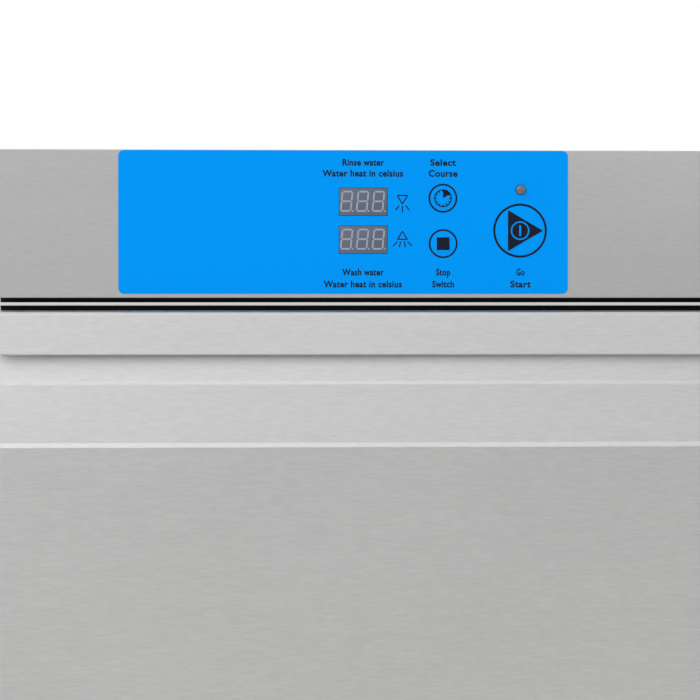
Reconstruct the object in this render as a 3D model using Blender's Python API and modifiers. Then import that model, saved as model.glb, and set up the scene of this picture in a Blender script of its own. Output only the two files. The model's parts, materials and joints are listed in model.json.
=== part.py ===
"""Undercounter commercial dishwasher: casing, chamber, fold-down door, controls and water systems.

Metres, +Z up. The origin is on the floor under the middle of the machine.
The front faces -Y, and +X is to the right.
"""

import math

import bmesh
import bpy
from mathutils import Euler, Matrix, Vector

# Driving dimensions. The lip of the door and the fittings at the back reach the ends of the depth.
WIDTH = 0.600
HEIGHT = 0.850
LIP_FRONT = -0.310
FITTINGS_REAR = 0.310
REAR = 0.298
DOOR_FRONT = -0.302
FASCIA_FRONT = -0.290
FRAME_FRONT = -0.2695
SHEET = 0.0012
GAP = 0.0003
PAST = 0.010  # how far a cutter runs past what it cuts

HALF = WIDTH / 2
PANEL_INSIDE = HALF - SHEET
BASE_BOTTOM = 0.060
BASE_TOP = 0.080
PANEL_TOP = 0.8315
FASCIA_BOTTOM = 0.7346
FASCIA_REAR = FRAME_FRONT - GAP
FRAME_REAR = FRAME_FRONT + 0.0015
FRAME_BOTTOM = 0.150

# Door and its hinge axis, which runs along X
HINGE_Y = -0.292
HINGE_Z = 0.208
DOOR_TOP = 0.724
DOOR_BOTTOM = 0.196
DOOR_HALF = 0.298
LINER_REAR = -0.2730
NOTCH_START, NOTCH_TOP = 0.2666, 0.2335
BORE_RADIUS = 0.0048
LOWER_PANEL_TOP = 0.190

# Wash chamber
CHAMBER_HALF = 0.262
CHAMBER_FRONT = FRAME_REAR + GAP
CHAMBER_BACK = 0.258
CHAMBER_FLOOR = 0.2447
CEILING = 0.705
CHAMBER_RADIUS = 0.020
OPENING_BOTTOM = 0.245
OPENING_TOP = 0.700
TANK_BOTTOM = 0.186
FILTER_BOTTOM, FILTER_TOP = 0.2385, 0.2425
SPIN_Y = -0.005
ARM_REACH = 0.228

# Rack
RACK_HALF = 0.2475
RACK_BOTTOM = 0.302
RACK_HEIGHT = 0.100

# Controls, as places on the fascia
OVERLAY_LEFT, OVERLAY_RIGHT = -0.2068, 0.1442
OVERLAY_BOTTOM, OVERLAY_TOP = 0.7377, 0.8495
OVERLAY_THICK = 0.0004
OVERLAY_FRONT = FASCIA_FRONT - GAP - OVERLAY_THICK
FASCIA_FOLD_X = 0.239
KEYS = {
    "function_key": (0.0460, 0.8124, 0.0110),
    "off_key": (0.0462, 0.7770, 0.0110),
    "on_key": (0.1065, 0.7872, 0.0208),
}
BOARD_FRONT = -0.2833
DISPLAY_X = -0.0163
DISPLAY_SIZE = (0.0376, 0.0214)
DISPLAYS = {"display_upper": 0.8095, "display_lower": 0.7800}
LED_X, LED_Z, LED_RADIUS = 0.1071, 0.8191, 0.0038

# Services
HEATER_X, HEATER_Z, HEATER_BOSS = -0.130, 0.212, 0.016
SUMP_X, SUMP_Y, SUMP_RADIUS, SUMP_BOTTOM = 0.178, -0.182, 0.072, 0.150
PUMP_X, PUMP_Z = 0.175, 0.118
BOILER_X, BOILER_Z, BOILER_RADIUS = -0.195, 0.124, 0.052
BOILER_FRONT, BOILER_REAR = -0.180, 0.150
RISER_X, RISER_Y, RISER_RADIUS = 0.060, 0.278, 0.0105
PIPES_OVER = 0.735
DRAIN_X, DRAIN_Z, DRAIN_RADIUS = 0.100, 0.094, 0.0125
INLET_X, INLET_Z, INLET_RADIUS = -0.100, 0.105, 0.0132
GLAND_X, GLAND_Z, GLAND_RADIUS = -0.220, 0.120, 0.0125
FEET = {
    "foot_front_left": (-0.255, -0.235),
    "foot_front_right": (0.255, -0.235),
    "foot_rear_left": (-0.255, 0.245),
    "foot_rear_right": (0.255, 0.245),
}
STEM_RADIUS = 0.009

# Colour, roughness and metallic value of each finish
FINISHES = {
    "stainless": ((0.60, 0.60, 0.60), 0.35, 1.0),
    "galvanised": ((0.50, 0.52, 0.54), 0.50, 1.0),
    "blue_film": ((0.01, 0.30, 0.92), 0.45, 0.0),
    "display_grey": ((0.12, 0.15, 0.25), 0.20, 0.0),
    "lamp_grey": ((0.25, 0.25, 0.30), 0.20, 0.0),
    "black_rubber": ((0.02, 0.02, 0.02), 0.70, 0.0),
    "black_plastic": ((0.03, 0.03, 0.03), 0.50, 0.0),
    "grey_plastic": ((0.35, 0.36, 0.38), 0.50, 0.0),
    "white_plastic": ((0.80, 0.80, 0.78), 0.45, 0.0),
    "blue_plastic": ((0.05, 0.18, 0.45), 0.40, 0.0),
    "green_board": ((0.02, 0.20, 0.08), 0.50, 0.0),
    "steel": ((0.55, 0.55, 0.55), 0.30, 1.0),
    "spring_steel": ((0.35, 0.35, 0.36), 0.35, 1.0),
    "brass": ((0.75, 0.55, 0.22), 0.30, 1.0),
    "motor_paint": ((0.10, 0.12, 0.14), 0.50, 0.0),
}

# Turns that stand a flat outline across a world axis: X reads it as (y, z), Y as (x, z) and Z as (x, y).
# They point local Z along +X, -Y and +Z.
UPRIGHT = Euler((0, 0, 0))
TURNS = {
    "X": Euler((math.radians(90), 0, math.radians(90))),
    "Y": Euler((math.radians(90), 0, 0)),
    "Z": UPRIGHT,
}
AXES = {"X": Vector((1, 0, 0)), "Y": Vector((0, 1, 0)), "Z": Vector((0, 0, 1))}

for old in list(bpy.data.objects):
    bpy.data.objects.remove(old)


def new_collection(name):
    found = bpy.data.collections.new(name)
    bpy.context.scene.collection.children.link(found)
    return found


PARTS = new_collection("commercial_dishwasher")
CUTTERS = new_collection("cutters")


# Shapes. Each function returns an object that is in no collection until part() or tool() puts it in one.


def solid(name, build):
    """A mesh object filled by build(bmesh), with round parts shaded smooth."""
    mesh = bpy.data.meshes.new(name)
    bm = bmesh.new()
    build(bm)
    bm.to_mesh(mesh)
    bm.free()
    mesh.shade_smooth()
    mesh.set_sharp_from_angle(angle=math.radians(35))
    return bpy.data.objects.new(name, mesh)


def block(name, low, high):
    """A box between two corners, with its origin at its middle."""
    low, high = Vector(low), Vector(high)
    scale = Matrix.Diagonal((high - low).to_4d())

    def build(bm):
        bmesh.ops.create_cube(bm, size=1, matrix=scale)

    obj = solid(name, build)
    obj.location = (low + high) / 2
    return obj


def rod(name, start, end, radius, segments=24):
    """A round bar between two points, with its origin at the start."""
    start, end = Vector(start), Vector(end)
    length = (end - start).length

    def build(bm):
        bmesh.ops.create_cone(
            bm, cap_ends=True, segments=segments, radius1=radius, radius2=radius, depth=length,
            matrix=Matrix.Translation((0, 0, length / 2)),
        )

    obj = solid(name, build)
    obj.location = start
    obj.rotation_mode = "QUATERNION"
    obj.rotation_quaternion = (end - start).to_track_quat("Z", "Y")
    return obj


def turned(name, profile, place, turn=UPRIGHT, steps=24, closed=False):
    """A lathe shape about local Z from (radius, height) points, which run down the outer side."""
    def build(bm):
        points = [bm.verts.new((radius, 0, height)) for radius, height in profile]
        for first, second in zip(points, points[1:]):
            bm.edges.new((first, second))
        if closed:
            bm.edges.new((points[-1], points[0]))

    obj = solid(name, build)
    screw = obj.modifiers.new("turn", "SCREW")
    screw.steps = steps
    screw.render_steps = steps
    screw.use_merge_vertices = True
    screw.merge_threshold = 0.0001
    screw.use_smooth_shade = True
    obj.location = place
    obj.rotation_euler = turn
    return obj


def as_mesh(curve_object):
    """The same shape as a welded mesh object. The curve is removed."""
    bpy.context.scene.collection.objects.link(curve_object)
    bpy.context.view_layer.update()
    evaluated = curve_object.evaluated_get(bpy.context.evaluated_depsgraph_get())
    mesh = bpy.data.meshes.new_from_object(evaluated)
    bm = bmesh.new()
    bm.from_mesh(mesh)
    bmesh.ops.remove_doubles(bm, verts=bm.verts, dist=0.00001)
    bm.to_mesh(mesh)
    bm.free()
    mesh.set_sharp_from_angle(angle=math.radians(35))
    name, place = curve_object.name, curve_object.matrix_world.copy()
    bpy.data.objects.remove(curve_object)
    obj = bpy.data.objects.new(name, mesh)
    obj.matrix_world = place
    return obj


def plate(name, outline, low, high, axis):
    """A flat outline extruded from low to high along a world axis."""
    curve = bpy.data.curves.new(name, "CURVE")
    curve.dimensions = "2D"
    curve.fill_mode = "BOTH"
    curve.extrude = (high - low) / 2
    spline = curve.splines.new("POLY")
    spline.points.add(len(outline) - 1)
    for point, (across, up) in zip(spline.points, outline):
        point.co = (across, up, 0, 1)
    spline.use_cyclic_u = True
    obj = bpy.data.objects.new(name, curve)
    obj.location = AXES[axis] * (low + high) / 2
    obj.rotation_euler = TURNS[axis]
    return as_mesh(obj)


def tube(name, points, radius, sides_level=2):
    """A round pipe or wire along a list of points."""
    curve = bpy.data.curves.new(name, "CURVE")
    curve.dimensions = "3D"
    curve.bevel_depth = radius
    curve.bevel_resolution = sides_level
    curve.use_fill_caps = True
    spline = curve.splines.new("POLY")
    spline.points.add(len(points) - 1)
    for point, place in zip(spline.points, points):
        point.co = (*place, 1)
    return as_mesh(bpy.data.objects.new(name, curve))


# Outlines and routes


def rounded(points, radius, steps=3, closed=True):
    """The same path with arcs for corners, in 2D or 3D. A list of radii has 0 for a sharp corner."""
    points = [Vector(p) for p in points]
    count = len(points)
    radii = list(radius) if isinstance(radius, (list, tuple)) else [radius] * count
    if not closed:
        radii[0] = radii[-1] = 0
    path = []
    for i, (corner, bend) in enumerate(zip(points, radii)):
        if not bend:
            path.append(corner)
            continue
        before = (points[i - 1] - corner).normalized()
        after = (points[(i + 1) % count] - corner).normalized()
        turn = before.angle(after)
        reach = bend / math.tan(turn / 2)
        centre = corner + (before + after).normalized() * bend / math.sin(turn / 2)
        start = corner + before * reach - centre
        end = corner + after * reach - centre
        sweep = math.pi - turn
        for k in range(steps + 1):
            share = k / steps
            arc = (start * math.sin((1 - share) * sweep) + end * math.sin(share * sweep)) / math.sin(sweep)
            path.append(centre + arc)
    return path


def route(points, bend):
    """A pipe's way through space, with its corners bent to a radius."""
    return rounded(points, bend, 4, closed=False)


def rectangle(low, high, radius=0.0, steps=4):
    """The corners of a rectangle, anticlockwise, rounded if a radius is given."""
    corners = [(low[0], low[1]), (high[0], low[1]), (high[0], high[1]), (low[0], high[1])]
    return rounded(corners, radius, steps) if radius else corners


def folded(path, thickness=SHEET):
    """The closed outline of a folded sheet, which lies on the left of the path its outer face follows."""
    path = [Vector(p) for p in path]
    inner = []
    for i, point in enumerate(path):
        sides = []
        if i > 0:
            sides.append((point - path[i - 1]).normalized())
        if i < len(path) - 1:
            sides.append((path[i + 1] - point).normalized())
        normals = [Vector((-side.y, side.x)) for side in sides]
        mitre = sum(normals, Vector((0, 0))).normalized()
        inner.append(point + mitre * thickness / mitre.dot(normals[0]))
    return path + inner[::-1]


# Assembly


def finish(obj, kind):
    colour, roughness, metallic = FINISHES[kind]
    material = bpy.data.materials.new(obj.name + "_" + kind)
    material.use_nodes = True
    shader = material.node_tree.nodes["Principled BSDF"]
    shader.inputs["Base Color"].default_value = (*colour, 1)
    shader.inputs["Roughness"].default_value = roughness
    shader.inputs["Metallic"].default_value = metallic
    obj.data.materials.clear()
    obj.data.materials.append(material)


def part(obj, kind, parent=None):
    """Puts a finished piece in the machine, under the empty it moves with."""
    finish(obj, kind)
    PARTS.objects.link(obj)
    if parent is not None:
        obj.parent = parent
        obj.matrix_parent_inverse = parent_world(parent).inverted()
    return obj


def parent_world(parent):
    return Matrix.Translation(parent.location)


def pivot(name, place):
    """An empty on a joint's axis, which the pieces of a moving body hang from."""
    empty = bpy.data.objects.new(name, None)
    empty.empty_display_size = 0.02
    empty.location = place
    PARTS.objects.link(empty)
    return empty


def tool(obj):
    """Puts a shape that only cuts or joins among the cutters."""
    obj.hide_render = True
    obj.display_type = "WIRE"
    CUTTERS.objects.link(obj)
    return obj


def boolean(obj, operation, other):
    modifier = obj.modifiers.new(operation.lower(), "BOOLEAN")
    modifier.operation = operation
    modifier.solver = "EXACT"
    modifier.object = tool(other)


def cut(obj, *others):
    for other in others:
        boolean(obj, "DIFFERENCE", other)
    return obj


def join(obj, *others):
    for other in others:
        boolean(obj, "UNION", other)
    return obj


def side_name(name, side):
    return name + ("_left" if side < 0 else "_right")


def mirrored(side, low, high):
    """Bounds of a span on the side that the sign names."""
    return sorted((side * low, side * high))


# Casing


def base_tray():
    half = PANEL_INSIDE - GAP
    front, back = -0.3003, 0.2963
    sleeve_radius, sleeve_bottom = 0.017, 0.035
    tray = block("base_tray", (-half, front, BASE_BOTTOM), (half, back, BASE_TOP))
    low = (SHEET - half, front + SHEET, BASE_BOTTOM + SHEET)
    cut(tray, block("tray_inside", low, (half - SHEET, back - SHEET, BASE_TOP + PAST)))
    for name, (x, y) in FEET.items():
        sleeve_top = BASE_BOTTOM + SHEET / 2
        join(tray, rod(name + "_sleeve", (x, y, sleeve_bottom), (x, y, sleeve_top), sleeve_radius))
    for name, (x, y) in FEET.items():
        low, high = (x, y, sleeve_bottom - PAST), (x, y, BASE_TOP + PAST)
        cut(tray, rod(name + "_hole", low, high, STEM_RADIUS + GAP))
    part(tray, "galvanised")


def feet():
    pad, shoulder, chamfer = 0.020, 0.017, 0.002
    stem_top, shoulder_top, pad_top = 0.076, 0.0347, 0.012
    profile = [
        (0, stem_top), (STEM_RADIUS, stem_top), (STEM_RADIUS, shoulder_top), (shoulder, shoulder_top),
        (pad, pad_top), (pad, chamfer), (pad - chamfer, 0), (0, 0),
    ]
    for name, (x, y) in FEET.items():
        part(turned(name, profile, (x, y, 0), steps=16), "steel", pivot(name + "_axis", (x, y, 0)))


def side_panels():
    flange, bend = 0.014, 0.002
    front, back = CHAMBER_FRONT, 0.2965
    inner = HALF - flange
    for side in (-1, 1):
        path = [(side * inner, front), (side * HALF, front), (side * HALF, back), (side * inner, back)]
        if side < 0:
            path.reverse()
        outline = folded(rounded(path, bend, closed=False))
        part(plate(side_name("side_panel", side), outline, BASE_TOP + GAP, PANEL_TOP, "Z"), "stainless")


def top_panel():
    bottom, inset = PANEL_TOP + 0.0005, HALF - SHEET
    panel = block("top_panel", (-HALF, FRAME_FRONT, bottom), (HALF, REAR, HEIGHT))
    low, high = (-inset, FRAME_FRONT + SHEET, bottom - PAST), (inset, REAR - SHEET, HEIGHT - SHEET)
    part(cut(panel, block("top_inside", low, high)), "stainless")


def rear_panel():
    half, bottom, front = HALF - 0.0002, BASE_TOP + GAP, 0.2968
    panel = block("rear_panel", (-half, front, bottom), (half, REAR, PANEL_TOP))
    services = {
        "drain": (DRAIN_X, DRAIN_Z, DRAIN_RADIUS),
        "inlet": (INLET_X, INLET_Z, INLET_RADIUS),
        "gland": (GLAND_X, GLAND_Z, GLAND_RADIUS),
    }
    for name, (x, z, radius) in services.items():
        cut(panel, rod(name + "_hole", (x, front - PAST, z), (x, REAR + PAST, z), radius + GAP))
    slot_count, slot_pitch, slot_length, slot_height, lowest = 5, 0.014, 0.110, 0.0045, 0.150
    for x in (-0.100, 0.120):
        for k in range(slot_count):
            low = (x, front - PAST, lowest + k * slot_pitch)
            high = (x + slot_length, REAR + PAST, low[2] + slot_height)
            cut(panel, block(f"vent_{x:+.2f}_{k}", low, high))
    part(panel, "galvanised")


def front_panel_outline(front, rear):
    """A folded front in plan: its face and its two side returns."""
    bend = 0.002
    return rounded([(-HALF, rear), (-HALF, front), (HALF, front), (HALF, rear)], bend, closed=False)


def lower_front_panel():
    rear, bottom = -0.270, 0.062
    outline = folded(front_panel_outline(DOOR_FRONT, rear))
    part(plate("lower_front_panel", outline, bottom, LOWER_PANEL_TOP, "Z"), "stainless")


def opening(name, margin, low_y, high_y, radius):
    """A rounded prism as wide as the chamber opening plus a margin all round."""
    half = CHAMBER_HALF + margin
    outline = rectangle((-half, OPENING_BOTTOM - margin), (half, OPENING_TOP + margin), radius)
    return plate(name, outline, low_y, high_y, "Y")


def front_frame():
    half, corner = PANEL_INSIDE - GAP, 0.015
    frame = block("front_frame", (-half, FRAME_FRONT, FRAME_BOTTOM), (half, FRAME_REAR, PANEL_TOP))
    hole = opening("frame_opening", 0, FRAME_FRONT - PAST, FRAME_REAR + PAST, corner)
    part(cut(frame, hole), "stainless")


def drip_rail():
    bottom, top, half, set_back, edge = 0.7287, 0.7312, 0.2990, 0.0005, 0.0006
    outline = rectangle((FASCIA_FRONT + set_back, bottom), (FASCIA_REAR, top), edge, 2)
    part(plate("drip_rail", outline, -half, half, "X"), "stainless")


# Chamber


def chamber_section(margin, bottom):
    """The chamber's arch in front view: square at the bottom, with rounded top corners."""
    half, top, radius = CHAMBER_HALF + margin, CEILING + margin, CHAMBER_RADIUS + margin
    corners = [(-half, bottom), (half, bottom), (half, top), (-half, top)]
    return rounded(corners, [0, 0, radius, radius], 4)


def wash_chamber():
    outside = chamber_section(SHEET, CHAMBER_FLOOR)
    inside = chamber_section(0, CHAMBER_FLOOR - PAST)
    feed_hole = 0.008
    chamber = plate("wash_chamber", outside, CHAMBER_FRONT, CHAMBER_BACK + SHEET, "Y")
    cut(
        chamber,
        plate("chamber_inside", inside, CHAMBER_FRONT - PAST, CHAMBER_BACK, "Y"),
        rod("ceiling_hole", (0, SPIN_Y, CEILING - PAST), (0, SPIN_Y, CEILING + PAST), feed_hole),
    )
    part(chamber, "stainless")


def above_sump(height):
    return (SUMP_X, SUMP_Y, height)


def wash_tank():
    half, back, top = CHAMBER_HALF + SHEET, CHAMBER_BACK + SHEET, CHAMBER_FLOOR - GAP
    floor, drain_hole, steps = TANK_BOTTOM + SHEET, 0.009, 32
    tank = block("wash_tank", (-half, CHAMBER_FRONT, TANK_BOTTOM), (half, back, top))
    join(tank, rod("sump_outside", above_sump(SUMP_BOTTOM), above_sump(floor), SUMP_RADIUS, steps))
    low, high = (-CHAMBER_HALF, CHAMBER_FRONT + SHEET, floor), (CHAMBER_HALF, CHAMBER_BACK, top + PAST)
    sump_low, sump_high = above_sump(SUMP_BOTTOM + SHEET), above_sump(floor + PAST)
    behind = (HEATER_X, CHAMBER_BACK + PAST, HEATER_Z)
    cut(
        tank,
        block("tank_inside", low, high),
        rod("sump_inside", sump_low, sump_high, SUMP_RADIUS - SHEET, steps),
        rod("drain_hole", above_sump(SUMP_BOTTOM - PAST), above_sump(SUMP_BOTTOM + PAST), drain_hole),
        rod("heater_hole", (HEATER_X, CHAMBER_BACK - PAST, HEATER_Z), behind, HEATER_BOSS + GAP),
    )
    part(tank, "stainless")


def tank_heater():
    """A flange on the tank's back wall with a boss through it and one loop of heating element."""
    flange, flange_thick, boss_end, wire = 0.022, 0.0047, 0.263, 0.004
    root, spread, reach, shoulder, neck = 0.009, 0.070, -0.060, 0.205, 0.225
    face = CHAMBER_BACK - GAP
    half_loop = [(root, face), (root, neck), (spread, shoulder), (spread, reach)]
    legs = [(HEATER_X - across, y, HEATER_Z) for across, y in half_loop]
    legs += [(HEATER_X + across, y, HEATER_Z) for across, y in reversed(half_loop)]
    heater = rod("tank_heater", (HEATER_X, face - flange_thick, HEATER_Z), (HEATER_X, face, HEATER_Z), flange)
    inside = (HEATER_X, face - flange_thick / 2, HEATER_Z)
    join(
        heater,
        rod("heater_boss", inside, (HEATER_X, boss_end, HEATER_Z), HEATER_BOSS),
        tube("heater_element", route(legs, 0.012), wire, 1),
    )
    part(heater, "steel")


def rack_rails():
    ledge, drop, wall, front, back = 0.026, 0.018, 0.0015, -0.255, 0.250
    top, outside = RACK_BOTTOM - GAP, CHAMBER_HALF - GAP
    for side in (-1, 1):
        path = [(side * outside, top - drop), (side * outside, top), (side * (outside - ledge), top)]
        if side < 0:
            path.reverse()
        part(plate(side_name("rack_rail", side), folded(path, wall), front, back, "Y"), "stainless")


def door_gasket():
    outer, inner, outer_corner, inner_corner = 0.011, 0.0015, 0.024, 0.016
    gasket = opening("door_gasket", outer, LINER_REAR + GAP, FRAME_FRONT - GAP, outer_corner)
    hole = opening("gasket_inside", inner, LINER_REAR - PAST, FRAME_FRONT + PAST, inner_corner)
    part(cut(gasket, hole), "black_rubber")


def dish_rack():
    wall, floor = 0.004, 0.006
    front, back = SPIN_Y - RACK_HALF, SPIN_Y + RACK_HALF
    top = RACK_BOTTOM + RACK_HEIGHT
    axis = pivot("rack_slide_axis", (0, SPIN_Y, RACK_BOTTOM))
    rack = block("dish_rack", (-RACK_HALF, front, RACK_BOTTOM), (RACK_HALF, back, top))
    inside = RACK_HALF - wall
    low, high = (-inside, front + wall, RACK_BOTTOM + floor), (inside, back - wall, top + PAST)
    cut(rack, block("rack_inside", low, high))
    count, bar = 6, 0.008
    pitch = 2 * inside / count
    half_hole = (pitch - bar) / 2
    hole = block("rack_mesh", (-half_hole, -half_hole, -PAST), (half_hole, half_hole, PAST))
    hole.location = (-inside + pitch / 2, SPIN_Y - inside + pitch / 2, RACK_BOTTOM + floor / 2)
    for direction in ((pitch, 0, 0), (0, pitch, 0)):
        row = hole.modifiers.new("row", "ARRAY")
        row.count = count
        row.use_relative_offset = False
        row.use_constant_offset = True
        row.constant_offset_displace = direction
    cut(rack, hole)
    grip, grip_bottom, grip_top, past = 0.060, top - 0.040, top - 0.015, RACK_HALF + PAST
    cut(
        rack,
        block("grips_along", (-past, SPIN_Y - grip, grip_bottom), (past, SPIN_Y + grip, grip_top)),
        block("grips_across", (-grip, SPIN_Y - past, grip_bottom), (grip, SPIN_Y + past, grip_top)),
    )
    part(rack, "blue_plastic", axis)


def tank_filters():
    front, back = CHAMBER_FRONT + 0.004, CHAMBER_BACK - 0.003
    slot_count, slot_pitch, slot_width, first_slot = 8, 0.026, 0.012, 0.020
    slot_start, slot_end = 0.040, 0.225
    post_hole, pipe_hole = 0.0175, 0.0165
    below, above = FILTER_BOTTOM - PAST, FILTER_TOP + PAST
    for side in (-1, 1):
        name = side_name("tank_filter", side)
        low, high = mirrored(side, 0.0010, CHAMBER_HALF - 0.002)
        sieve = block(name, (low, front, FILTER_BOTTOM), (high, back, FILTER_TOP))
        low, high = mirrored(side, slot_start, slot_end)
        for k in range(slot_count):
            y = first_slot + k * slot_pitch
            cut(sieve, block(f"{name}_slot_{k}", (low, y, below), (high, y + slot_width, above)))
        cut(sieve, rod(name + "_post_hole", (0, SPIN_Y, below), (0, SPIN_Y, above), post_hole))
        if side > 0:
            cut(sieve, rod(name + "_pipe_hole", above_sump(below), above_sump(above), pipe_hole))
        part(sieve, "stainless")


def overflow_standpipe():
    outer, bore, foot_bore, handle, seal = 0.0130, 0.0105, 0.0085, 0.0155, 0.0160
    bottom, top = SUMP_BOTTOM + SHEET + GAP, 0.262
    handle_end, pipe_start, seal_top, bore_start = top - 0.008, top - 0.011, bottom + 0.003, bottom + 0.009
    profile = [
        (bore, top), (handle, top), (handle, handle_end), (outer, pipe_start),
        (outer, seal_top + 0.001), (seal, seal_top), (seal, bottom),
        (foot_bore, bottom), (foot_bore, seal_top + 0.003), (bore, bore_start),
    ]
    place = above_sump(0)
    pipe = turned("overflow_standpipe", profile, place, steps=20, closed=True)
    part(pipe, "grey_plastic", pivot("standpipe_axis", place))


# Spray arms


def spindle(name, profile):
    part(turned(name, profile, (0, SPIN_Y, 0), steps=16), "steel")


def spindles():
    """Stepped posts: a foot, a post up to the wash arm, a collar between the two arms and an end nut."""
    shaft, post, collar, nut, foot, foot_thick = 0.008, 0.0165, 0.0125, 0.013, 0.030, 0.005
    floor = TANK_BOTTOM + SHEET + GAP
    nut_top, nut_low, collar_top, collar_low, post_top = 0.2925, 0.2855, 0.2747, 0.2703, 0.2537
    spindle("lower_spindle", [
        (0, nut_top), (nut, nut_top), (nut, nut_low), (shaft, nut_low),
        (shaft, collar_top), (collar, collar_top), (collar, collar_low), (shaft, collar_low),
        (shaft, post_top), (post, post_top), (post, floor + foot_thick), (foot, floor + foot_thick),
        (foot, floor), (0, floor),
    ])
    top = CEILING - GAP
    post_low, collar_top, collar_low, nut_top, nut_low = 0.6843, 0.6677, 0.6633, 0.6525, 0.6455
    spindle("upper_spindle", [
        (0, top), (foot, top), (foot, top - foot_thick), (post, top - foot_thick),
        (post, post_low), (shaft, post_low),
        (shaft, collar_top), (collar, collar_top), (collar, collar_low), (shaft, collar_low),
        (shaft, nut_top), (nut, nut_top), (nut, nut_low), (0, nut_low),
    ])


def spray_arm(name, hub, hub_radius, blade, width, angle):
    """A hub with two closed blades, bored to turn on a spindle. Hub and blade are given as heights."""
    bore = 0.0083
    axis = pivot(name + "_axis", (0, SPIN_Y, sum(hub) / 2))
    arm = rod(name, (0, SPIN_Y, hub[0]), (0, SPIN_Y, hub[1]), hub_radius)
    low, high = (-ARM_REACH, SPIN_Y - width / 2, blade[0]), (ARM_REACH, SPIN_Y + width / 2, blade[1])
    blades = block(name + "_blades", low, high)
    blades.rotation_euler = (0, 0, math.radians(angle))
    edges = blades.modifiers.new("edges", "BEVEL")
    edges.width = (blade[1] - blade[0]) * 0.4
    edges.segments = 2
    join(arm, blades)
    cut(arm, rod(name + "_bore", (0, SPIN_Y, hub[0] - PAST), (0, SPIN_Y, hub[1] + PAST), bore))
    part(arm, "steel", axis)


def spray_arms():
    wash_hub, wash_width, rinse_hub, rinse_width, parked = 0.026, 0.036, 0.016, 0.014, 35
    spray_arm("lower_wash_arm", (0.2540, 0.2700), wash_hub, (0.2555, 0.2680), wash_width, 0)
    spray_arm("lower_rinse_arm", (0.2750, 0.2850), rinse_hub, (0.2755, 0.2845), rinse_width, parked)
    spray_arm("upper_wash_arm", (0.6680, 0.6840), wash_hub, (0.6700, 0.6825), wash_width, 0)
    spray_arm("upper_rinse_arm", (0.6528, 0.6630), rinse_hub, (0.6535, 0.6625), rinse_width, parked)


# Door


def door_profile():
    """The door's front in section, from the top return over the lip and the recess to the bottom return."""
    lip_bottom, lip_back, lip_lean = 0.6903, -0.3040, 0.0032
    recess_back, recess_top, recess_mouth = -0.2900, 0.7160, 0.6890
    band_top, band_bottom, door_rear = 0.6688, 0.6206, -0.2740
    return [
        (door_rear, DOOR_TOP), (LIP_FRONT + lip_lean, DOOR_TOP), (LIP_FRONT, lip_bottom),
        (lip_back, lip_bottom), (lip_back + 0.8 * lip_lean, recess_top),
        (recess_back, recess_top), (recess_back, recess_mouth),
        (-0.2965, band_top), (DOOR_FRONT, band_bottom), (DOOR_FRONT, DOOR_BOTTOM), (door_rear, DOOR_BOTTOM),
    ]


def door_outer_skin(axis):
    bend = 0.0016
    profile = rounded(door_profile(), bend, 2, closed=False)
    skin = plate("door_outer_skin", folded(profile), -DOOR_HALF, DOOR_HALF, "X")
    for side in (-1, 1):
        name = side_name("door_end", side)
        low, high = mirrored(side, DOOR_HALF - SHEET, DOOR_HALF)
        join(skin, plate(name, profile, low, high, "X"))
        low, high = mirrored(side, NOTCH_START, DOOR_HALF - SHEET)
        low = (low, DOOR_FRONT + SHEET + 0.0002, DOOR_BOTTOM - PAST)
        cut(skin, block(name + "_notch", low, (high, LINER_REAR + PAST, NOTCH_TOP)))
    part(skin, "stainless", axis)


def door_inner_liner(axis):
    half, bottom, top = 0.2962, 0.1980, 0.7222
    boss_half, boss_low, boss_high, boss_rear, boss_corner = 0.245, 0.262, 0.683, -0.2685, 0.030
    liner = block("door_inner_liner", (-half, LINER_REAR - SHEET, bottom), (half, LINER_REAR, top))
    outer = rectangle((-boss_half, boss_low), (boss_half, boss_high), boss_corner)
    low, high = (SHEET - boss_half, boss_low + SHEET), (boss_half - SHEET, boss_high - SHEET)
    inner = rectangle(low, high, boss_corner - SHEET)
    join(liner, plate("liner_boss", outer, LINER_REAR - SHEET / 2, boss_rear, "Y"))
    cut(liner, plate("liner_boss_inside", inner, LINER_REAR - PAST, boss_rear - SHEET, "Y"))
    for side in (-1, 1):
        low, high = mirrored(side, NOTCH_START + 0.0004, half + PAST)
        low, high = (low, LINER_REAR - PAST, bottom - PAST), (high, LINER_REAR + PAST, NOTCH_TOP)
        cut(liner, block(side_name("liner_notch", side), low, high))
    part(liner, "stainless", axis)


def door_magnet(axis):
    low, high = (-0.215, -0.2820, 0.7130), (-0.185, LINER_REAR - SHEET - GAP, 0.7200)
    part(block("door_magnet", low, high), "black_plastic", axis)


def door_switch():
    """The sensor on the frame that the door's magnet meets."""
    low, high = (-0.212, LINER_REAR + 0.0004, 0.7140), (-0.188, FRAME_FRONT - GAP, 0.7200)
    part(block("door_switch", low, high), "white_plastic")


def hinge_arms(axis):
    eye, back, corner = 0.0083, -0.2747, 0.0040
    front, top, neck = HINGE_Y - eye, 0.300, HINGE_Y + eye
    eye_bottom, neck_top, back_bottom = HINGE_Z - eye, 0.222, 0.240
    outline = [
        (front, top), (front, eye_bottom), (neck, eye_bottom),
        (neck, neck_top), (back, back_bottom), (back, top),
    ]
    for side in (-1, 1):
        name = side_name("hinge_arm", side)
        low, high = mirrored(side, 0.2690, 0.2730)
        arm = plate(name, rounded(outline, corner), low, high, "X")
        part(cut(arm, hinge_bore(name + "_bore", side)), "steel", axis)


def hinge_bore(name, side):
    start, end = CHAMBER_HALF, HALF
    return rod(name, (side * start, HINGE_Y, HINGE_Z), (side * end, HINGE_Y, HINGE_Z), BORE_RADIUS, 20)


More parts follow.
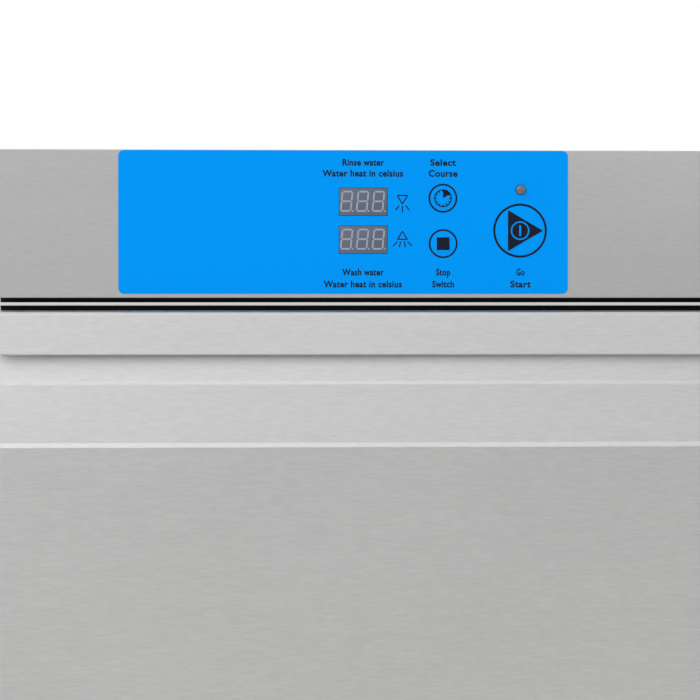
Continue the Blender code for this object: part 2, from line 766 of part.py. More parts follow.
def hinge_brackets():
    """Angle brackets on the front frame, whose round ears stay clear of the turning door skin."""
    ear, root, bottom, top = 0.0080, -0.2724, 0.1960, 0.2300
    inner, ear_inner, outer = 0.2760, 0.2880, 0.2910
    low_z, high_z, tip, corner = HINGE_Z - ear, HINGE_Z + ear, HINGE_Y - ear, ear - 0.0002
    outline = rounded([(tip, low_z), (root, low_z), (root, high_z), (tip, high_z)], [corner, 0, 0, corner], 5)
    for side in (-1, 1):
        name = side_name("hinge_bracket", side)
        low, high = mirrored(side, inner, outer)
        bracket = block(name, (low, root - 0.0002, bottom), (high, FRAME_FRONT - GAP, top))
        low, high = mirrored(side, ear_inner, outer)
        join(bracket, plate(name + "_ear", outline, low, high, "X"))
        part(cut(bracket, hinge_bore(name + "_bore", side)), "steel")


def hinge_pins():
    radius, head = 0.0045, 0.0065
    end, shoulder, start = 0.2945, 0.2913, 0.2675
    profile = [(0, end), (head, end), (head, shoulder), (radius, shoulder), (radius, start), (0, start)]
    for side in (-1, 1):
        turn = Euler((0, math.radians(90 * side), 0))
        part(turned(side_name("hinge_pin", side), profile, (0, HINGE_Y, HINGE_Z), turn, steps=16), "steel")


def door_springs():
    """Torsion springs round the hinge pins, between each arm and its bracket."""
    mean, wire, start, end, turns, steps = 0.0068, 0.0011, 0.2748, 0.2862, 4.5, 8
    for side in (-1, 1):
        points = []
        for k in range(int(turns * steps) + 1):
            angle = 2 * math.pi * k / steps
            x = start + (end - start) * k / (turns * steps)
            points.append((side * x, HINGE_Y + mean * math.cos(angle), HINGE_Z + mean * math.sin(angle)))
        part(tube(side_name("door_spring", side), points, wire, 1), "spring_steel")


# Controls


def fascia_plan(inset, rear):
    """The fascia in plan, from its rear left corner. Its face leans back a little right of the fold."""
    lean_back, left, right, front = 0.0015, inset - HALF, HALF - inset, FASCIA_FRONT + inset
    return [(left, rear), (left, front), (FASCIA_FOLD_X, front), (right, front + lean_back), (right, rear)]


def control_fascia():
    bend = 0.002
    outer = rounded(fascia_plan(0, FASCIA_REAR), [0, bend, 0, bend, 0])
    fascia = plate("control_fascia", outer, FASCIA_BOTTOM, HEIGHT, "Z")
    inner = fascia_plan(SHEET, FASCIA_REAR + PAST)
    cut(fascia, plate("fascia_inside", inner, FASCIA_BOTTOM + SHEET, HEIGHT - SHEET, "Z"))
    control_holes(fascia, "fascia")
    part(fascia, "stainless")


def control_holes(obj, prefix):
    """Cuts the holes that the keys, displays and lamp show through."""
    front, back = FASCIA_FRONT - PAST, FASCIA_FRONT + PAST
    for name, (x, z, radius) in KEYS.items():
        cut(obj, rod(f"{prefix}_{name}_hole", (x, front, z), (x, back, z), radius + GAP, 32))
    width, height = DISPLAY_SIZE
    for name, z in DISPLAYS.items():
        low = (DISPLAY_X - width / 2 - GAP, front, z - height / 2 - GAP)
        high = (DISPLAY_X + width / 2 + GAP, back, z + height / 2 + GAP)
        cut(obj, block(f"{prefix}_{name}_hole", low, high))
    cut(obj, rod(prefix + "_led_hole", (LED_X, front, LED_Z), (LED_X, back, LED_Z), LED_RADIUS + GAP, 16))


def control_overlay():
    corner = 0.0045
    outline = rectangle((OVERLAY_LEFT, OVERLAY_BOTTOM), (OVERLAY_RIGHT, OVERLAY_TOP), corner)
    overlay = plate("control_overlay", outline, OVERLAY_FRONT, OVERLAY_FRONT + OVERLAY_THICK, "Y")
    control_holes(overlay, "overlay")
    part(overlay, "blue_film")


def displays():
    width, height = DISPLAY_SIZE
    for name, z in DISPLAYS.items():
        low = (DISPLAY_X - width / 2, OVERLAY_FRONT, z - height / 2)
        high = (DISPLAY_X + width / 2, BOARD_FRONT - GAP, z + height / 2)
        part(block(name, low, high), "display_grey")


def keys():
    """Round keys with a flange behind the fascia. Local heights run towards the front."""
    proud, flange, edge = 0.0004, 0.0014, 0.0004
    front, behind, back = OVERLAY_FRONT - proud, FASCIA_FRONT + SHEET + GAP, FASCIA_FRONT + 0.0032
    for name, (x, z, radius) in KEYS.items():
        profile = [
            (0, -front), (radius - edge, -front), (radius, -front - edge), (radius, -behind),
            (radius + flange, -behind), (radius + flange, -back), (0, -back),
        ]
        key = turned(name, profile, (x, 0, z), TURNS["Y"])
        part(key, "blue_film", pivot(name + "_axis", (x, front, z)))


def status_led():
    tip, shoulder, back, crown = 0.2932, 0.2912, GAP - BOARD_FRONT, 0.0004
    wide, narrow = LED_RADIUS, LED_RADIUS * 0.6
    profile = [(0, tip), (narrow, tip - crown), (wide, shoulder), (wide, back), (0, back)]
    part(turned("status_led", profile, (LED_X, 0, LED_Z), TURNS["Y"], steps=16), "lamp_grey")


def control_board():
    """A board with parts on its rear face, each given by its span, its heights and its depth."""
    back, sunk = BOARD_FRONT + 0.0016, 0.0005
    board = block("control_board", (-0.060, BOARD_FRONT, 0.7450), (0.135, back, 0.8420))
    components = {
        "relay_1": ((-0.045, -0.030), (0.760, 0.785), 0.0100),
        "relay_2": ((-0.020, -0.005), (0.760, 0.785), 0.0100),
        "transformer": ((0.020, 0.055), (0.755, 0.790), 0.0110),
        "terminals": ((-0.050, 0.120), (0.825, 0.837), 0.0090),
        "processor": ((0.075, 0.095), (0.790, 0.810), 0.0030),
    }
    for name, ((left, right), (low, high), depth) in components.items():
        join(board, block(name, (left, back - sunk, low), (right, back + depth, high)))
    part(board, "green_board")


def terminal_box():
    box = block("terminal_box", (0.100, -0.220, 0.7080), (0.260, -0.060, 0.8000))
    edges = box.modifiers.new("edges", "BEVEL")
    edges.width = 0.003
    edges.segments = 2
    part(box, "grey_plastic")


# Water system in the base


def wash_pump_housing():
    rear, neck_rear, neck_front, front = 0.205, 0.035, 0.030, -0.028
    motor, neck, volute, intake, shaft, vent = 0.048, 0.030, 0.045, 0.016, 0.010, 0.020
    wall = 0.0025
    profile = [
        (vent, rear), (motor, rear), (motor, neck_rear), (neck, neck_rear),
        (neck, neck_front), (volute, neck_front), (volute, front), (intake, front),
        (intake, front + wall), (volute - wall, front + wall),
        (volute - wall, neck_front - wall), (shaft, neck_front - wall), (shaft, neck_rear + wall),
        (motor - wall, neck_rear + wall), (motor - wall, rear - wall), (vent, rear - wall),
    ]
    turn = Euler((math.radians(-90), 0, 0))
    part(turned("wash_pump_housing", profile, (PUMP_X, 0, PUMP_Z), turn, 20, closed=True), "motor_paint")


def wash_pump_rotor():
    """One turned shaft with the cooling fan, the motor core and the impeller, from the rear to the front."""
    shaft, core, fan, impeller, hub = 0.006, 0.032, 0.010, 0.038, 0.012
    fan_end, fan_start, core_end, core_start = 0.1990, 0.1800, 0.1600, 0.0700
    disc_back, disc_front, hub_end, nose = 0.0150, 0.0120, -0.0120, -0.0150
    profile = [
        (0, fan_end), (fan, fan_end), (fan, fan_start), (shaft, fan_start),
        (shaft, core_end), (core, core_end), (core, core_start), (shaft, core_start),
        (shaft, disc_back), (impeller, disc_back),
        (impeller, disc_front), (hub, disc_front), (hub, hub_end), (0, nose),
    ]
    turn = Euler((math.radians(-90), 0, 0))
    axis = pivot("pump_rotor_axis", (PUMP_X, 0, PUMP_Z))
    rotor = turned("wash_pump_rotor", profile, (PUMP_X, 0, PUMP_Z), turn, 16)
    thin = 0.0012
    vanes = {"fan_blade": (0.040, 0.1820, 0.1970), "vane": (0.036, -0.0100, 0.0130)}
    for k in range(3):
        angle = math.pi * k / 3
        for name, (half, low, high) in vanes.items():
            blade = block(f"{name}_{k}", (-half, low, -thin), (half, high, thin))
            blade.location = (PUMP_X, (low + high) / 2, PUMP_Z)
            blade.rotation_euler = (0, angle, 0)
            join(rotor, blade)
    part(rotor, "steel", axis)


def suction_hose():
    radius, top, start_y, end_y = 0.014, SUMP_BOTTOM - GAP, SUMP_Y + 0.045, -0.0283
    points = [(SUMP_X, start_y, top), (SUMP_X, start_y, PUMP_Z), (PUMP_X, end_y, PUMP_Z)]
    part(tube("suction_hose", route(points, 0.020), radius), "black_rubber")


def wash_riser():
    """The pipe from the pump up the back and over the chamber, with a branch to the lower spindle."""
    start = PUMP_X - 0.0455
    points = [
        (start, 0, PUMP_Z), (RISER_X, 0, PUMP_Z), (RISER_X, RISER_Y, PUMP_Z), (RISER_X, RISER_Y, PIPES_OVER),
        (RISER_X, SPIN_Y, PIPES_OVER), (0, SPIN_Y, PIPES_OVER), (0, SPIN_Y, CEILING + SHEET + GAP),
    ]
    branch = [(RISER_X + 0.005, 0, PUMP_Z), (0, 0, PUMP_Z), (0, 0, TANK_BOTTOM - GAP)]
    riser = tube("wash_riser", route(points, 0.016), RISER_RADIUS)
    part(join(riser, tube("riser_branch", route(branch, 0.016), RISER_RADIUS * 0.9)), "black_rubber")


def rinse_boiler():
    wall, mouth = 0.0015, 0.040
    shell, crown = BOILER_RADIUS, BOILER_RADIUS * 0.6
    rear, front, shoulder, crown_y = BOILER_REAR, BOILER_FRONT, BOILER_REAR - 0.018, BOILER_REAR - 0.004
    profile = [
        (0, rear), (crown, crown_y), (shell, shoulder), (shell, front), (mouth, front), (mouth, front + wall),
        (shell - wall, front + wall), (shell - wall, shoulder - 0.001), (crown - wall / 2, crown_y - wall),
        (0, rear - wall),
    ]
    turn = Euler((math.radians(-90), 0, 0))
    part(turned("rinse_boiler", profile, (BOILER_X, 0, BOILER_Z), turn, 20), "steel")


def boiler_heater():
    """A flange over the boiler's mouth with a loop of heating element behind it."""
    flange, thick, spread, wire, reach, bend = 0.045, 0.006, 0.018, 0.004, 0.110, 0.012
    face = BOILER_FRONT - GAP
    heater = rod("boiler_heater", (BOILER_X, face - thick, BOILER_Z), (BOILER_X, face, BOILER_Z), flange)
    ends = [(-spread, face - thick / 2), (-spread, reach), (spread, reach), (spread, face - thick / 2)]
    legs = [(BOILER_X + across, y, BOILER_Z) for across, y in ends]
    part(join(heater, tube("boiler_element", route(legs, bend), wire, 1)), "brass")


def rinse_hose():
    radius, x, up_x, down_x, across = 0.007, BOILER_X, -0.100, -0.030, 0.180
    points = [
        (x, BOILER_REAR + GAP, BOILER_Z), (x, RISER_Y, BOILER_Z), (x, RISER_Y, across),
        (up_x, RISER_Y, across), (up_x, RISER_Y, PIPES_OVER), (up_x, SPIN_Y, PIPES_OVER),
        (down_x, SPIN_Y, PIPES_OVER), (down_x, SPIN_Y, CEILING + SHEET + GAP),
    ]
    part(tube("rinse_hose", route(points, 0.018), radius), "black_rubber")


def drain_pipe():
    points = [
        above_sump(SUMP_BOTTOM - GAP), above_sump(DRAIN_Z), (DRAIN_X, SUMP_Y + SUMP_X - DRAIN_X, DRAIN_Z),
        (DRAIN_X, FITTINGS_REAR, DRAIN_Z),
    ]
    part(tube("drain_pipe", route(points, 0.022), DRAIN_RADIUS), "grey_plastic")


def water_inlet_valve():
    """A valve body with a threaded port through the rear panel and a solenoid on top."""
    x, z, half_width, half_height, front, back = INLET_X, INLET_Z, 0.018, 0.020, 0.232, 0.270
    coil_y, coil_radius, coil_top, bore, bore_start = 0.251, 0.014, INLET_Z + 0.055, 0.009, 0.285
    low, high = (x - half_width, front, z - half_height), (x + half_width, back, z + half_height)
    valve = block("water_inlet_valve", low, high)
    join(
        valve,
        rod("inlet_port", (x, back - 0.005, z), (x, FITTINGS_REAR, z), INLET_RADIUS),
        rod("solenoid", (x, coil_y, high[2] - 0.002), (x, coil_y, coil_top), coil_radius),
    )
    cut(valve, rod("inlet_bore", (x, bore_start, z), (x, FITTINGS_REAR + PAST, z), bore))
    part(valve, "white_plastic")


def cable_gland():
    x, z, nut, bore = GLAND_X, GLAND_Z, 0.0165, 0.0070
    start, end, nut_end = 0.285, 0.308, 0.306
    gland = rod("cable_gland", (x, start, z), (x, end, z), GLAND_RADIUS)
    join(gland, rod("gland_nut", (x, REAR + GAP, z), (x, nut_end, z), nut, 6))
    cut(gland, rod("gland_bore", (x, start - PAST, z), (x, end + PAST, z), bore))
    part(gland, "black_plastic")


def door():
    axis = pivot("door_hinge_axis", (0, HINGE_Y, HINGE_Z))
    door_outer_skin(axis)
    door_inner_liner(axis)
    door_magnet(axis)
    hinge_arms(axis)


for make in (
    base_tray, feet, side_panels, top_panel, rear_panel, lower_front_panel, front_frame, drip_rail,
    wash_chamber, wash_tank, tank_heater, rack_rails, door_gasket, dish_rack, tank_filters,
    overflow_standpipe, spindles, spray_arms, door, door_switch, hinge_brackets, hinge_pins, door_springs,
    control_fascia, control_overlay, displays, keys, status_led, control_board, terminal_box,
    wash_pump_housing, wash_pump_rotor, suction_hose, wash_riser, rinse_boiler, boiler_heater, rinse_hose,
    drain_pipe, water_inlet_valve, cable_gland,
):
    make()
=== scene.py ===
"""Looks of the undercounter commercial dishwasher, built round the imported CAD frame."""
import json
import math
import random

import bmesh
import bpy
from mathutils import Euler, Matrix, Vector


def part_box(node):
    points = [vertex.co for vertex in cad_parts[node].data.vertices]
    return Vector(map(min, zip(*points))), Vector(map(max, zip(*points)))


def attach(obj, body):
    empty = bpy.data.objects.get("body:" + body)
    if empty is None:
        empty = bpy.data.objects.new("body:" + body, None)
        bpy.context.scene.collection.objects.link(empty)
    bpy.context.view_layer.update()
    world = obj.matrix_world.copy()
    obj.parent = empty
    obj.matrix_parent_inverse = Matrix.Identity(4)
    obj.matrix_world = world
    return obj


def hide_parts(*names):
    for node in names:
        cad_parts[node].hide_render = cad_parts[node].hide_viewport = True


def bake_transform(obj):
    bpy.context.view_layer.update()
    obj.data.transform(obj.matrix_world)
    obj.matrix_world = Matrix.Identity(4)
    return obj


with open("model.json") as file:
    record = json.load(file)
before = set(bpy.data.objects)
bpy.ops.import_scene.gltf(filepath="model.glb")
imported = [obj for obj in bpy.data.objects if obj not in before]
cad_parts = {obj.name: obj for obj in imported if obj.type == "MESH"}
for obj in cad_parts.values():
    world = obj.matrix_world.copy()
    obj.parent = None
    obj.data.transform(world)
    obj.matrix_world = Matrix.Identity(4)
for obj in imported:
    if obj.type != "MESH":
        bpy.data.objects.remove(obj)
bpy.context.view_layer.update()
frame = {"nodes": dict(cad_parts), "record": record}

CABINET = "cabinet"
SHEET = 0.0012
LINE = 0.00005


# Shapes


def mesh_object(name, build, smooth=35):
    """A new object in world coordinates, filled by build(bmesh)."""
    mesh = bpy.data.meshes.new(name)
    bm = bmesh.new()
    build(bm)
    bmesh.ops.recalc_face_normals(bm, faces=bm.faces)
    bm.to_mesh(mesh)
    bm.free()
    mesh.shade_smooth()
    mesh.set_sharp_from_angle(angle=math.radians(smooth))
    obj = bpy.data.objects.new(name, mesh)
    bpy.context.scene.collection.objects.link(obj)
    return obj


def block(name, low, high, bevel=0.0, segments=3):
    """A box between two corners with rounded edges."""
    low, high = Vector(low), Vector(high)
    matrix = Matrix.Translation((low + high) / 2) @ Matrix.Diagonal((high - low).to_4d())

    def build(bm):
        bmesh.ops.create_cube(bm, size=1, matrix=matrix)
        if bevel:
            bmesh.ops.bevel(bm, geom=bm.edges, offset=bevel, segments=segments, profile=0.5, affect="EDGES")

    return mesh_object(name, build)


TO_WORLD = {
    "X": Matrix(((0, 0, 1), (1, 0, 0), (0, 1, 0))),
    "Y": Matrix(((1, 0, 0), (0, 0, -1), (0, 1, 0))),
    "Z": Matrix.Identity(3),
}


def prism(name, outline, low, high, axis, bevel=0.0, segments=2):
    """A flat outline extruded along a world axis. X reads it as (y, z), Y as (x, z) and Z as (x, y)."""
    turn = TO_WORLD[axis]
    flip = -1 if axis == "Y" else 1

    def build(bm):
        start = [bm.verts.new(turn @ Vector((p[0], p[1], flip * low))) for p in outline]
        face = bm.faces.new(start)
        lift = turn @ Vector((0, 0, flip * (high - low)))
        made = bmesh.ops.extrude_face_region(bm, geom=[face])
        bmesh.ops.translate(
            bm, verts=[v for v in made["geom"] if isinstance(v, bmesh.types.BMVert)], vec=lift
        )
        if bevel:
            caps = [e for f in bm.faces if len(f.verts) > 4 or len(outline) == 4 for e in f.edges]
            bmesh.ops.bevel(
                bm, geom=list(set(caps)), offset=bevel, segments=segments, profile=0.5, affect="EDGES"
            )

    return mesh_object(name, build)


def lathe(name, profile, place, axis="Z", steps=48, smooth=35):
    """A turned solid about an axis through place, from (radius, height along the axis) points."""
    turn = TO_WORLD[axis] if axis != "Y" else Matrix(((1, 0, 0), (0, 0, 1), (0, -1, 0)))
    place = Vector(place)

    def build(bm):
        rings = []
        for radius, height in profile:
            if radius < 1e-6:
                rings.append([bm.verts.new(place + turn @ Vector((0, 0, height)))])
                continue
            ring = []
            for k in range(steps):
                angle = 2 * math.pi * k / steps
                point = Vector((radius * math.cos(angle), radius * math.sin(angle), height))
                ring.append(bm.verts.new(place + turn @ point))
            rings.append(ring)
        pairs = list(zip(rings, rings[1:]))
        if profile[0][0] > 1e-6 and profile[-1][0] > 1e-6:
            pairs.append((rings[-1], rings[0]))
        for one, two in pairs:
            for k in range(steps):
                n = (k + 1) % steps
                corners = [one[k % len(one)], one[n % len(one)], two[n % len(two)], two[k % len(two)]]
                corners = list(dict.fromkeys(corners))
                if len(corners) > 2:
                    bm.faces.new(corners)

    return mesh_object(name, build, smooth)


def pipe(name, points, radius, sides=16, closed=False):
    """A round tube along points, with closed ends."""
    curve = bpy.data.curves.new(name, "CURVE")
    curve.dimensions = "3D"
    curve.bevel_depth = radius
    curve.bevel_resolution = max(1, (sides - 4) // 2)
    curve.use_fill_caps = not closed
    spline = curve.splines.new("POLY")
    spline.points.add(len(points) - 1)
    spline.use_cyclic_u = closed
    for point, place in zip(spline.points, points):
        point.co = (*place, 1)
    made = bpy.data.objects.new(name + "_curve", curve)
    bpy.context.scene.collection.objects.link(made)
    bpy.context.view_layer.update()
    mesh = bpy.data.meshes.new_from_object(made.evaluated_get(bpy.context.evaluated_depsgraph_get()))
    bpy.data.objects.remove(made)

    def build(bm):
        bm.from_mesh(mesh)
        bmesh.ops.remove_doubles(bm, verts=bm.verts, dist=1e-6)

    return mesh_object(name, build, 45)


def baked(obj):
    """Applies the modifiers to the mesh."""
    bpy.context.view_layer.update()
    mesh = bpy.data.meshes.new_from_object(obj.evaluated_get(bpy.context.evaluated_depsgraph_get()))
    obj.modifiers.clear()
    obj.data = mesh
    mesh.shade_smooth()
    mesh.set_sharp_from_angle(angle=math.radians(35))
    return obj


def flattened(obj):
    """Keeps the shading of folded sheet flat between its bends."""
    modifier = obj.modifiers.new("flats", "WEIGHTED_NORMAL")
    modifier.keep_sharp = True
    modifier.weight = 100
    return baked(obj)


def carved(obj, *cutters):
    """Cuts the cutters out of obj and removes them."""
    for cutter in cutters:
        modifier = obj.modifiers.new("carve", "BOOLEAN")
        modifier.operation = "DIFFERENCE"
        modifier.object = cutter
        modifier.solver = "EXACT"
    baked(obj)
    for cutter in cutters:
        bpy.data.objects.remove(cutter)
    return obj


def gathered(name, objects):
    """Several meshes as one object, each staying a separate solid."""
    def build(bm):
        for obj in objects:
            part = obj.data.copy()
            part.transform(obj.matrix_world)
            bm.from_mesh(part)
            bpy.data.meshes.remove(part)

    bpy.context.view_layer.update()
    made = mesh_object(name, build)
    for obj in objects:
        bpy.data.objects.remove(obj)
    return made


def copies(name, obj, places, turns=None):
    """One object holding obj's mesh at each place."""
    def build(bm):
        for k, place in enumerate(places):
            mesh = obj.data.copy()
            turn = turns[k].to_matrix().to_4x4() if turns else Matrix.Identity(4)
            mesh.transform(Matrix.Translation(place) @ turn)
            bm.from_mesh(mesh)
            bpy.data.meshes.remove(mesh)

    made = mesh_object(name, build)
    bpy.data.objects.remove(obj)
    return made


# Outlines and routes


def rounded(points, radius, steps=6, closed=True):
    """The same path with arcs for corners. The radius may be a list, with 0 for a sharp corner."""
    points = [Vector(p) for p in points]
    count = len(points)
    radii = list(radius) if isinstance(radius, (list, tuple)) else [radius] * count
    if not closed:
        radii[0] = radii[-1] = 0
    path = []
    for i, (corner, bend) in enumerate(zip(points, radii)):
        if not bend:
            path.append(corner)
            continue
        before = (points[i - 1] - corner).normalized()
        after = (points[(i + 1) % count] - corner).normalized()
        turn = before.angle(after)
        reach = bend / math.tan(turn / 2)
        centre = corner + (before + after).normalized() * bend / math.sin(turn / 2)
        start = corner + before * reach - centre
        end = corner + after * reach - centre
        sweep = math.pi - turn
        for k in range(steps + 1):
            share = k / steps
            arc = (start * math.sin((1 - share) * sweep) + end * math.sin(share * sweep)) / math.sin(sweep)
            path.append(centre + arc)
    return path


def rectangle(low, high, radius=0.0, steps=8):
    corners = [(low[0], low[1]), (high[0], low[1]), (high[0], high[1]), (low[0], high[1])]
    return rounded(corners, radius, steps) if radius else [Vector(c) for c in corners]


def circle(centre, radius, steps=64, start=0.0, sweep=2 * math.pi):
    """Points round a circle, or along an arc of it."""
    count = steps if sweep >= 2 * math.pi - 1e-6 else steps + 1
    return [
        Vector((
            centre[0] + radius * math.cos(start + sweep * k / steps),
            centre[1] + radius * math.sin(start + sweep * k / steps)
        ))
        for k in range(count)
    ]


def folded(path, thickness=SHEET):
    """The closed outline of a sheet whose outer face follows path and which lies to the path's left."""
    path = [Vector(p) for p in path]
    inner = []
    for i, point in enumerate(path):
        sides = []
        if i > 0:
            sides.append((point - path[i - 1]).normalized())
        if i < len(path) - 1:
            sides.append((path[i + 1] - point).normalized())
        normals = [Vector((-side.y, side.x)) for side in sides]
        mitre = sum(normals, Vector((0, 0))).normalized()
        inner.append(point + mitre * thickness / mitre.dot(normals[0]))
    return path + inner[::-1]


def side_name(name, side):
    return name + ("_left" if side < 0 else "_right")


def centre_of(node):
    low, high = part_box(node)
    return (low + high) / 2


def body_of(node):
    """The body that a CAD node moves with."""
    bodies = frame["record"]["behaviour"]["bodies"]
    return next(body for body, nodes in bodies.items() if node in nodes)


# Materials


def new_material(name, colour, roughness, metallic=0.0, **sockets):
    material = bpy.data.materials.new(name)
    material.use_nodes = True
    shader = material.node_tree.nodes["Principled BSDF"]
    shader.inputs["Base Color"].default_value = (*colour, 1)
    shader.inputs["Roughness"].default_value = roughness
    shader.inputs["Metallic"].default_value = metallic
    for key, value in sockets.items():
        shader.inputs[key.replace("_", " ")].default_value = value
    return material, material.node_tree, shader


def add(tree, kind, **values):
    """A node with its settings, and its input values by socket name."""
    node = tree.nodes.new(kind)
    for key, value in values.items():
        if hasattr(node, key):
            setattr(node, key, value)
        else:
            node.inputs[key.replace("_", " ")].default_value = value
    return node


def noise(tree, scale, detail=2.0, roughness=0.5):
    """Noise in object coordinates, stretched by a scale along each axis, as a factor."""
    place = add(tree, "ShaderNodeTexCoord")
    mapping = add(tree, "ShaderNodeMapping")
    mapping.inputs["Scale"].default_value = scale if isinstance(scale, tuple) else (scale,) * 3
    texture = add(tree, "ShaderNodeTexNoise")
    texture.inputs["Scale"].default_value = 1.0
    texture.inputs["Detail"].default_value = detail
    texture.inputs["Roughness"].default_value = roughness
    tree.links.new(place.outputs["Object"], mapping.inputs["Vector"])
    tree.links.new(mapping.outputs["Vector"], texture.inputs["Vector"])
    return texture.outputs["Fac"]


def spread(tree, factor, low, high, start=0.3, end=0.7):
    """The factor from start to end, as a value from low to high."""
    ranged = add(tree, "ShaderNodeMapRange")
    ranged.inputs["From Min"].default_value = start
    ranged.inputs["From Max"].default_value = end
    ranged.inputs["To Min"].default_value = low
    ranged.inputs["To Max"].default_value = high
    tree.links.new(factor, ranged.inputs["Value"])
    return ranged.outputs["Result"]


def blended(tree, factor, one, two):
    """A colour between two colours or sockets by a factor."""
    mix = add(tree, "ShaderNodeMix", data_type="RGBA")
    for socket, value in ((mix.inputs[6], one), (mix.inputs[7], two)):
        if isinstance(value, bpy.types.NodeSocket):
            tree.links.new(value, socket)
        else:
            socket.default_value = (*value, 1)
    tree.links.new(factor, mix.inputs[0])
    return mix.outputs[2]


def bump(tree, shader, height, strength, distance):
    node = add(tree, "ShaderNodeBump")
    node.inputs["Strength"].default_value = strength
    node.inputs["Distance"].default_value = distance
    tree.links.new(height, node.inputs["Height"])
    tree.links.new(node.outputs["Normal"], shader.inputs["Normal"])


def scaled(colour, factor):
    return tuple(min(1.0, c * factor) for c in colour)


def brushed(name, grain, tone=0.60, roughness=0.30, streak=0.110, relief=0.05, anisotropic=0.5):
    """Brushed stainless steel. grain is the axis that the brush marks run along."""
    colour = (tone, tone, tone * 0.995)
    material, tree, shader = new_material(name, colour, roughness, 1.0, Anisotropic=anisotropic)
    across, along, banding = 800.0, 95.0, 0.015
    fine = noise(tree, tuple(along if axis == grain else across for axis in "XYZ"), 3.0, 0.6)
    broad = noise(tree, tuple(1.5 if axis == grain else 60.0 for axis in "XYZ"), 2.0)
    cloud = noise(tree, 6.0, 3.0)
    marks = blended(tree, fine, scaled(colour, 1 - streak * 2.4), scaled(colour, 1 + streak * 2.4))
    bands = blended(
        tree, spread(tree, broad, 0.0, 1.0), scaled(colour, 1 - banding), scaled(colour, 1 + banding)
    )
    half = add(tree, "ShaderNodeMix", data_type="RGBA")
    half.inputs[0].default_value = 0.45
    tree.links.new(marks, half.inputs[6])
    tree.links.new(bands, half.inputs[7])
    tree.links.new(half.outputs[2], shader.inputs["Base Color"])
    tree.links.new(spread(tree, cloud, roughness - 0.03, roughness + 0.04), shader.inputs["Roughness"])
    tangent = add(tree, "ShaderNodeTangent", direction_type="RADIAL", axis="X" if grain != "X" else "Z")
    tree.links.new(tangent.outputs["Tangent"], shader.inputs["Tangent"])
    bump(tree, shader, fine, relief, 0.00004)
    return material


def mottled(
    name, colour, roughness, metallic=0.0, scale=60.0, change=0.08, relief=0.05, depth=0.0002, **sockets
):
    """A surface with soft changes of tone and gloss, for plastics, rubber, paint and cast or drawn metal."""
    material, tree, shader = new_material(name, colour, roughness, metallic, **sockets)
    factor = noise(tree, scale, 4.0, 0.6)
    tree.links.new(
        blended(tree, spread(tree, factor, 0, 1), scaled(colour, 1 - change), scaled(colour, 1 + change)),
        shader.inputs["Base Color"],
    )
    wide = noise(tree, scale / 8, 2.0)
    tree.links.new(
        spread(tree, wide, max(0.05, roughness - 0.06), roughness + 0.06), shader.inputs["Roughness"]
    )
    bump(tree, shader, noise(tree, scale * 20, 2.0), relief, depth)
    return material


def in_patches(tree, shader, colour, other, scale):
    """Blends two tones of a surface in soft patches."""
    tree.links.new(
        blended(tree, spread(tree, noise(tree, scale, 4.0), 0, 1), colour, other), shader.inputs["Base Color"]
    )


def blue_film():
    colour, deep = (0.0002, 0.288, 0.865), (0.0002, 0.279, 0.845)
    material, tree, shader = new_material("blue_film", colour, 0.50, Specular_IOR_Level=0.02)
    in_patches(tree, shader, colour, deep, 350.0)
    bump(tree, shader, noise(tree, 2500.0, 2.0), 0.10, 0.00005)
    return material


MATERIALS = {
    "fascia_steel": brushed("fascia_steel", "X", 0.490, 0.30),
    "door_steel": brushed("door_steel", "X", 0.560, 0.30),
    "panel_steel": brushed("panel_steel", "Y", 0.55, 0.32),
    "top_steel": brushed("top_steel", "X", 0.55, 0.32),
    "rear_steel": mottled("rear_steel", (0.50, 0.52, 0.53), 0.42, 1.0, 45.0, 0.12),
    "inner_steel": brushed("inner_steel", "X", 0.60, 0.24, 0.055, 0.03, 0.2),
    "chamber_steel": brushed("chamber_steel", "X", 0.62, 0.30, 0.045, 0.02, 0.1),
    # A lighter copy of the brushed steel for the drip rail: partly its brighter polish, partly a painted
    # highlight for the bright line it shows.
    "rail_polish_and_highlight": brushed("rail_polish_and_highlight", "X", 0.74, 0.30, 0.02),
    "machined": mottled("machined", (0.52, 0.52, 0.53), 0.26, 1.0, 200.0, 0.05),
    "spring_wire": mottled("spring_wire", (0.30, 0.30, 0.32), 0.32, 1.0, 300.0, 0.08),
    "brass": mottled("brass", (0.72, 0.50, 0.20), 0.28, 1.0, 150.0, 0.08),
    "blue_film": blue_film(),
    "ink": mottled("ink", (0.007, 0.009, 0.020), 0.45, 0.0, 500.0, 0.20, Specular_IOR_Level=0.10),
    "window": mottled("window", (0.074, 0.096, 0.150), 0.30, 0.0, 120.0, 0.06, 0.02, Coat_Weight=0.5),
    "segments": mottled("segments", (0.29, 0.32, 0.37), 0.40, 0.0, 400.0, 0.05),
    "lamp": mottled("lamp", (0.115, 0.110, 0.125), 0.14, 0.0, 300.0, 0.15, Coat_Weight=0.6),
    "rubber": mottled("rubber", (0.004, 0.004, 0.005), 0.62, 0.0, 220.0, 0.25, 0.15, Specular_IOR_Level=0.15),
    "black_plastic": mottled("black_plastic", (0.018, 0.018, 0.020), 0.42, 0.0, 300.0, 0.15),
    "grey_plastic": mottled("grey_plastic", (0.30, 0.31, 0.33), 0.42, 0.0, 220.0, 0.06),
    "white_plastic": mottled("white_plastic", (0.74, 0.74, 0.71), 0.38, 0.0, 220.0, 0.04),
    "rack_plastic": mottled("rack_plastic", (0.035, 0.12, 0.36), 0.40, 0.0, 160.0, 0.08),
    "board": mottled("board", (0.010, 0.11, 0.045), 0.32, 0.0, 700.0, 0.30),
    "motor_paint": mottled("motor_paint", (0.05, 0.065, 0.08), 0.40, 0.0, 120.0, 0.10, 0.12),
}


def dress(obj, finish, body=CABINET, replaces=()):
    """Gives a new piece its material, slot and body, if it rides on one, and the CAD nodes it stands for."""
    obj.data.materials.clear()
    obj.data.materials.append(MATERIALS[finish])
    if body:
        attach(obj, body)
    if replaces:
        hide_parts(*replaces)
    return obj


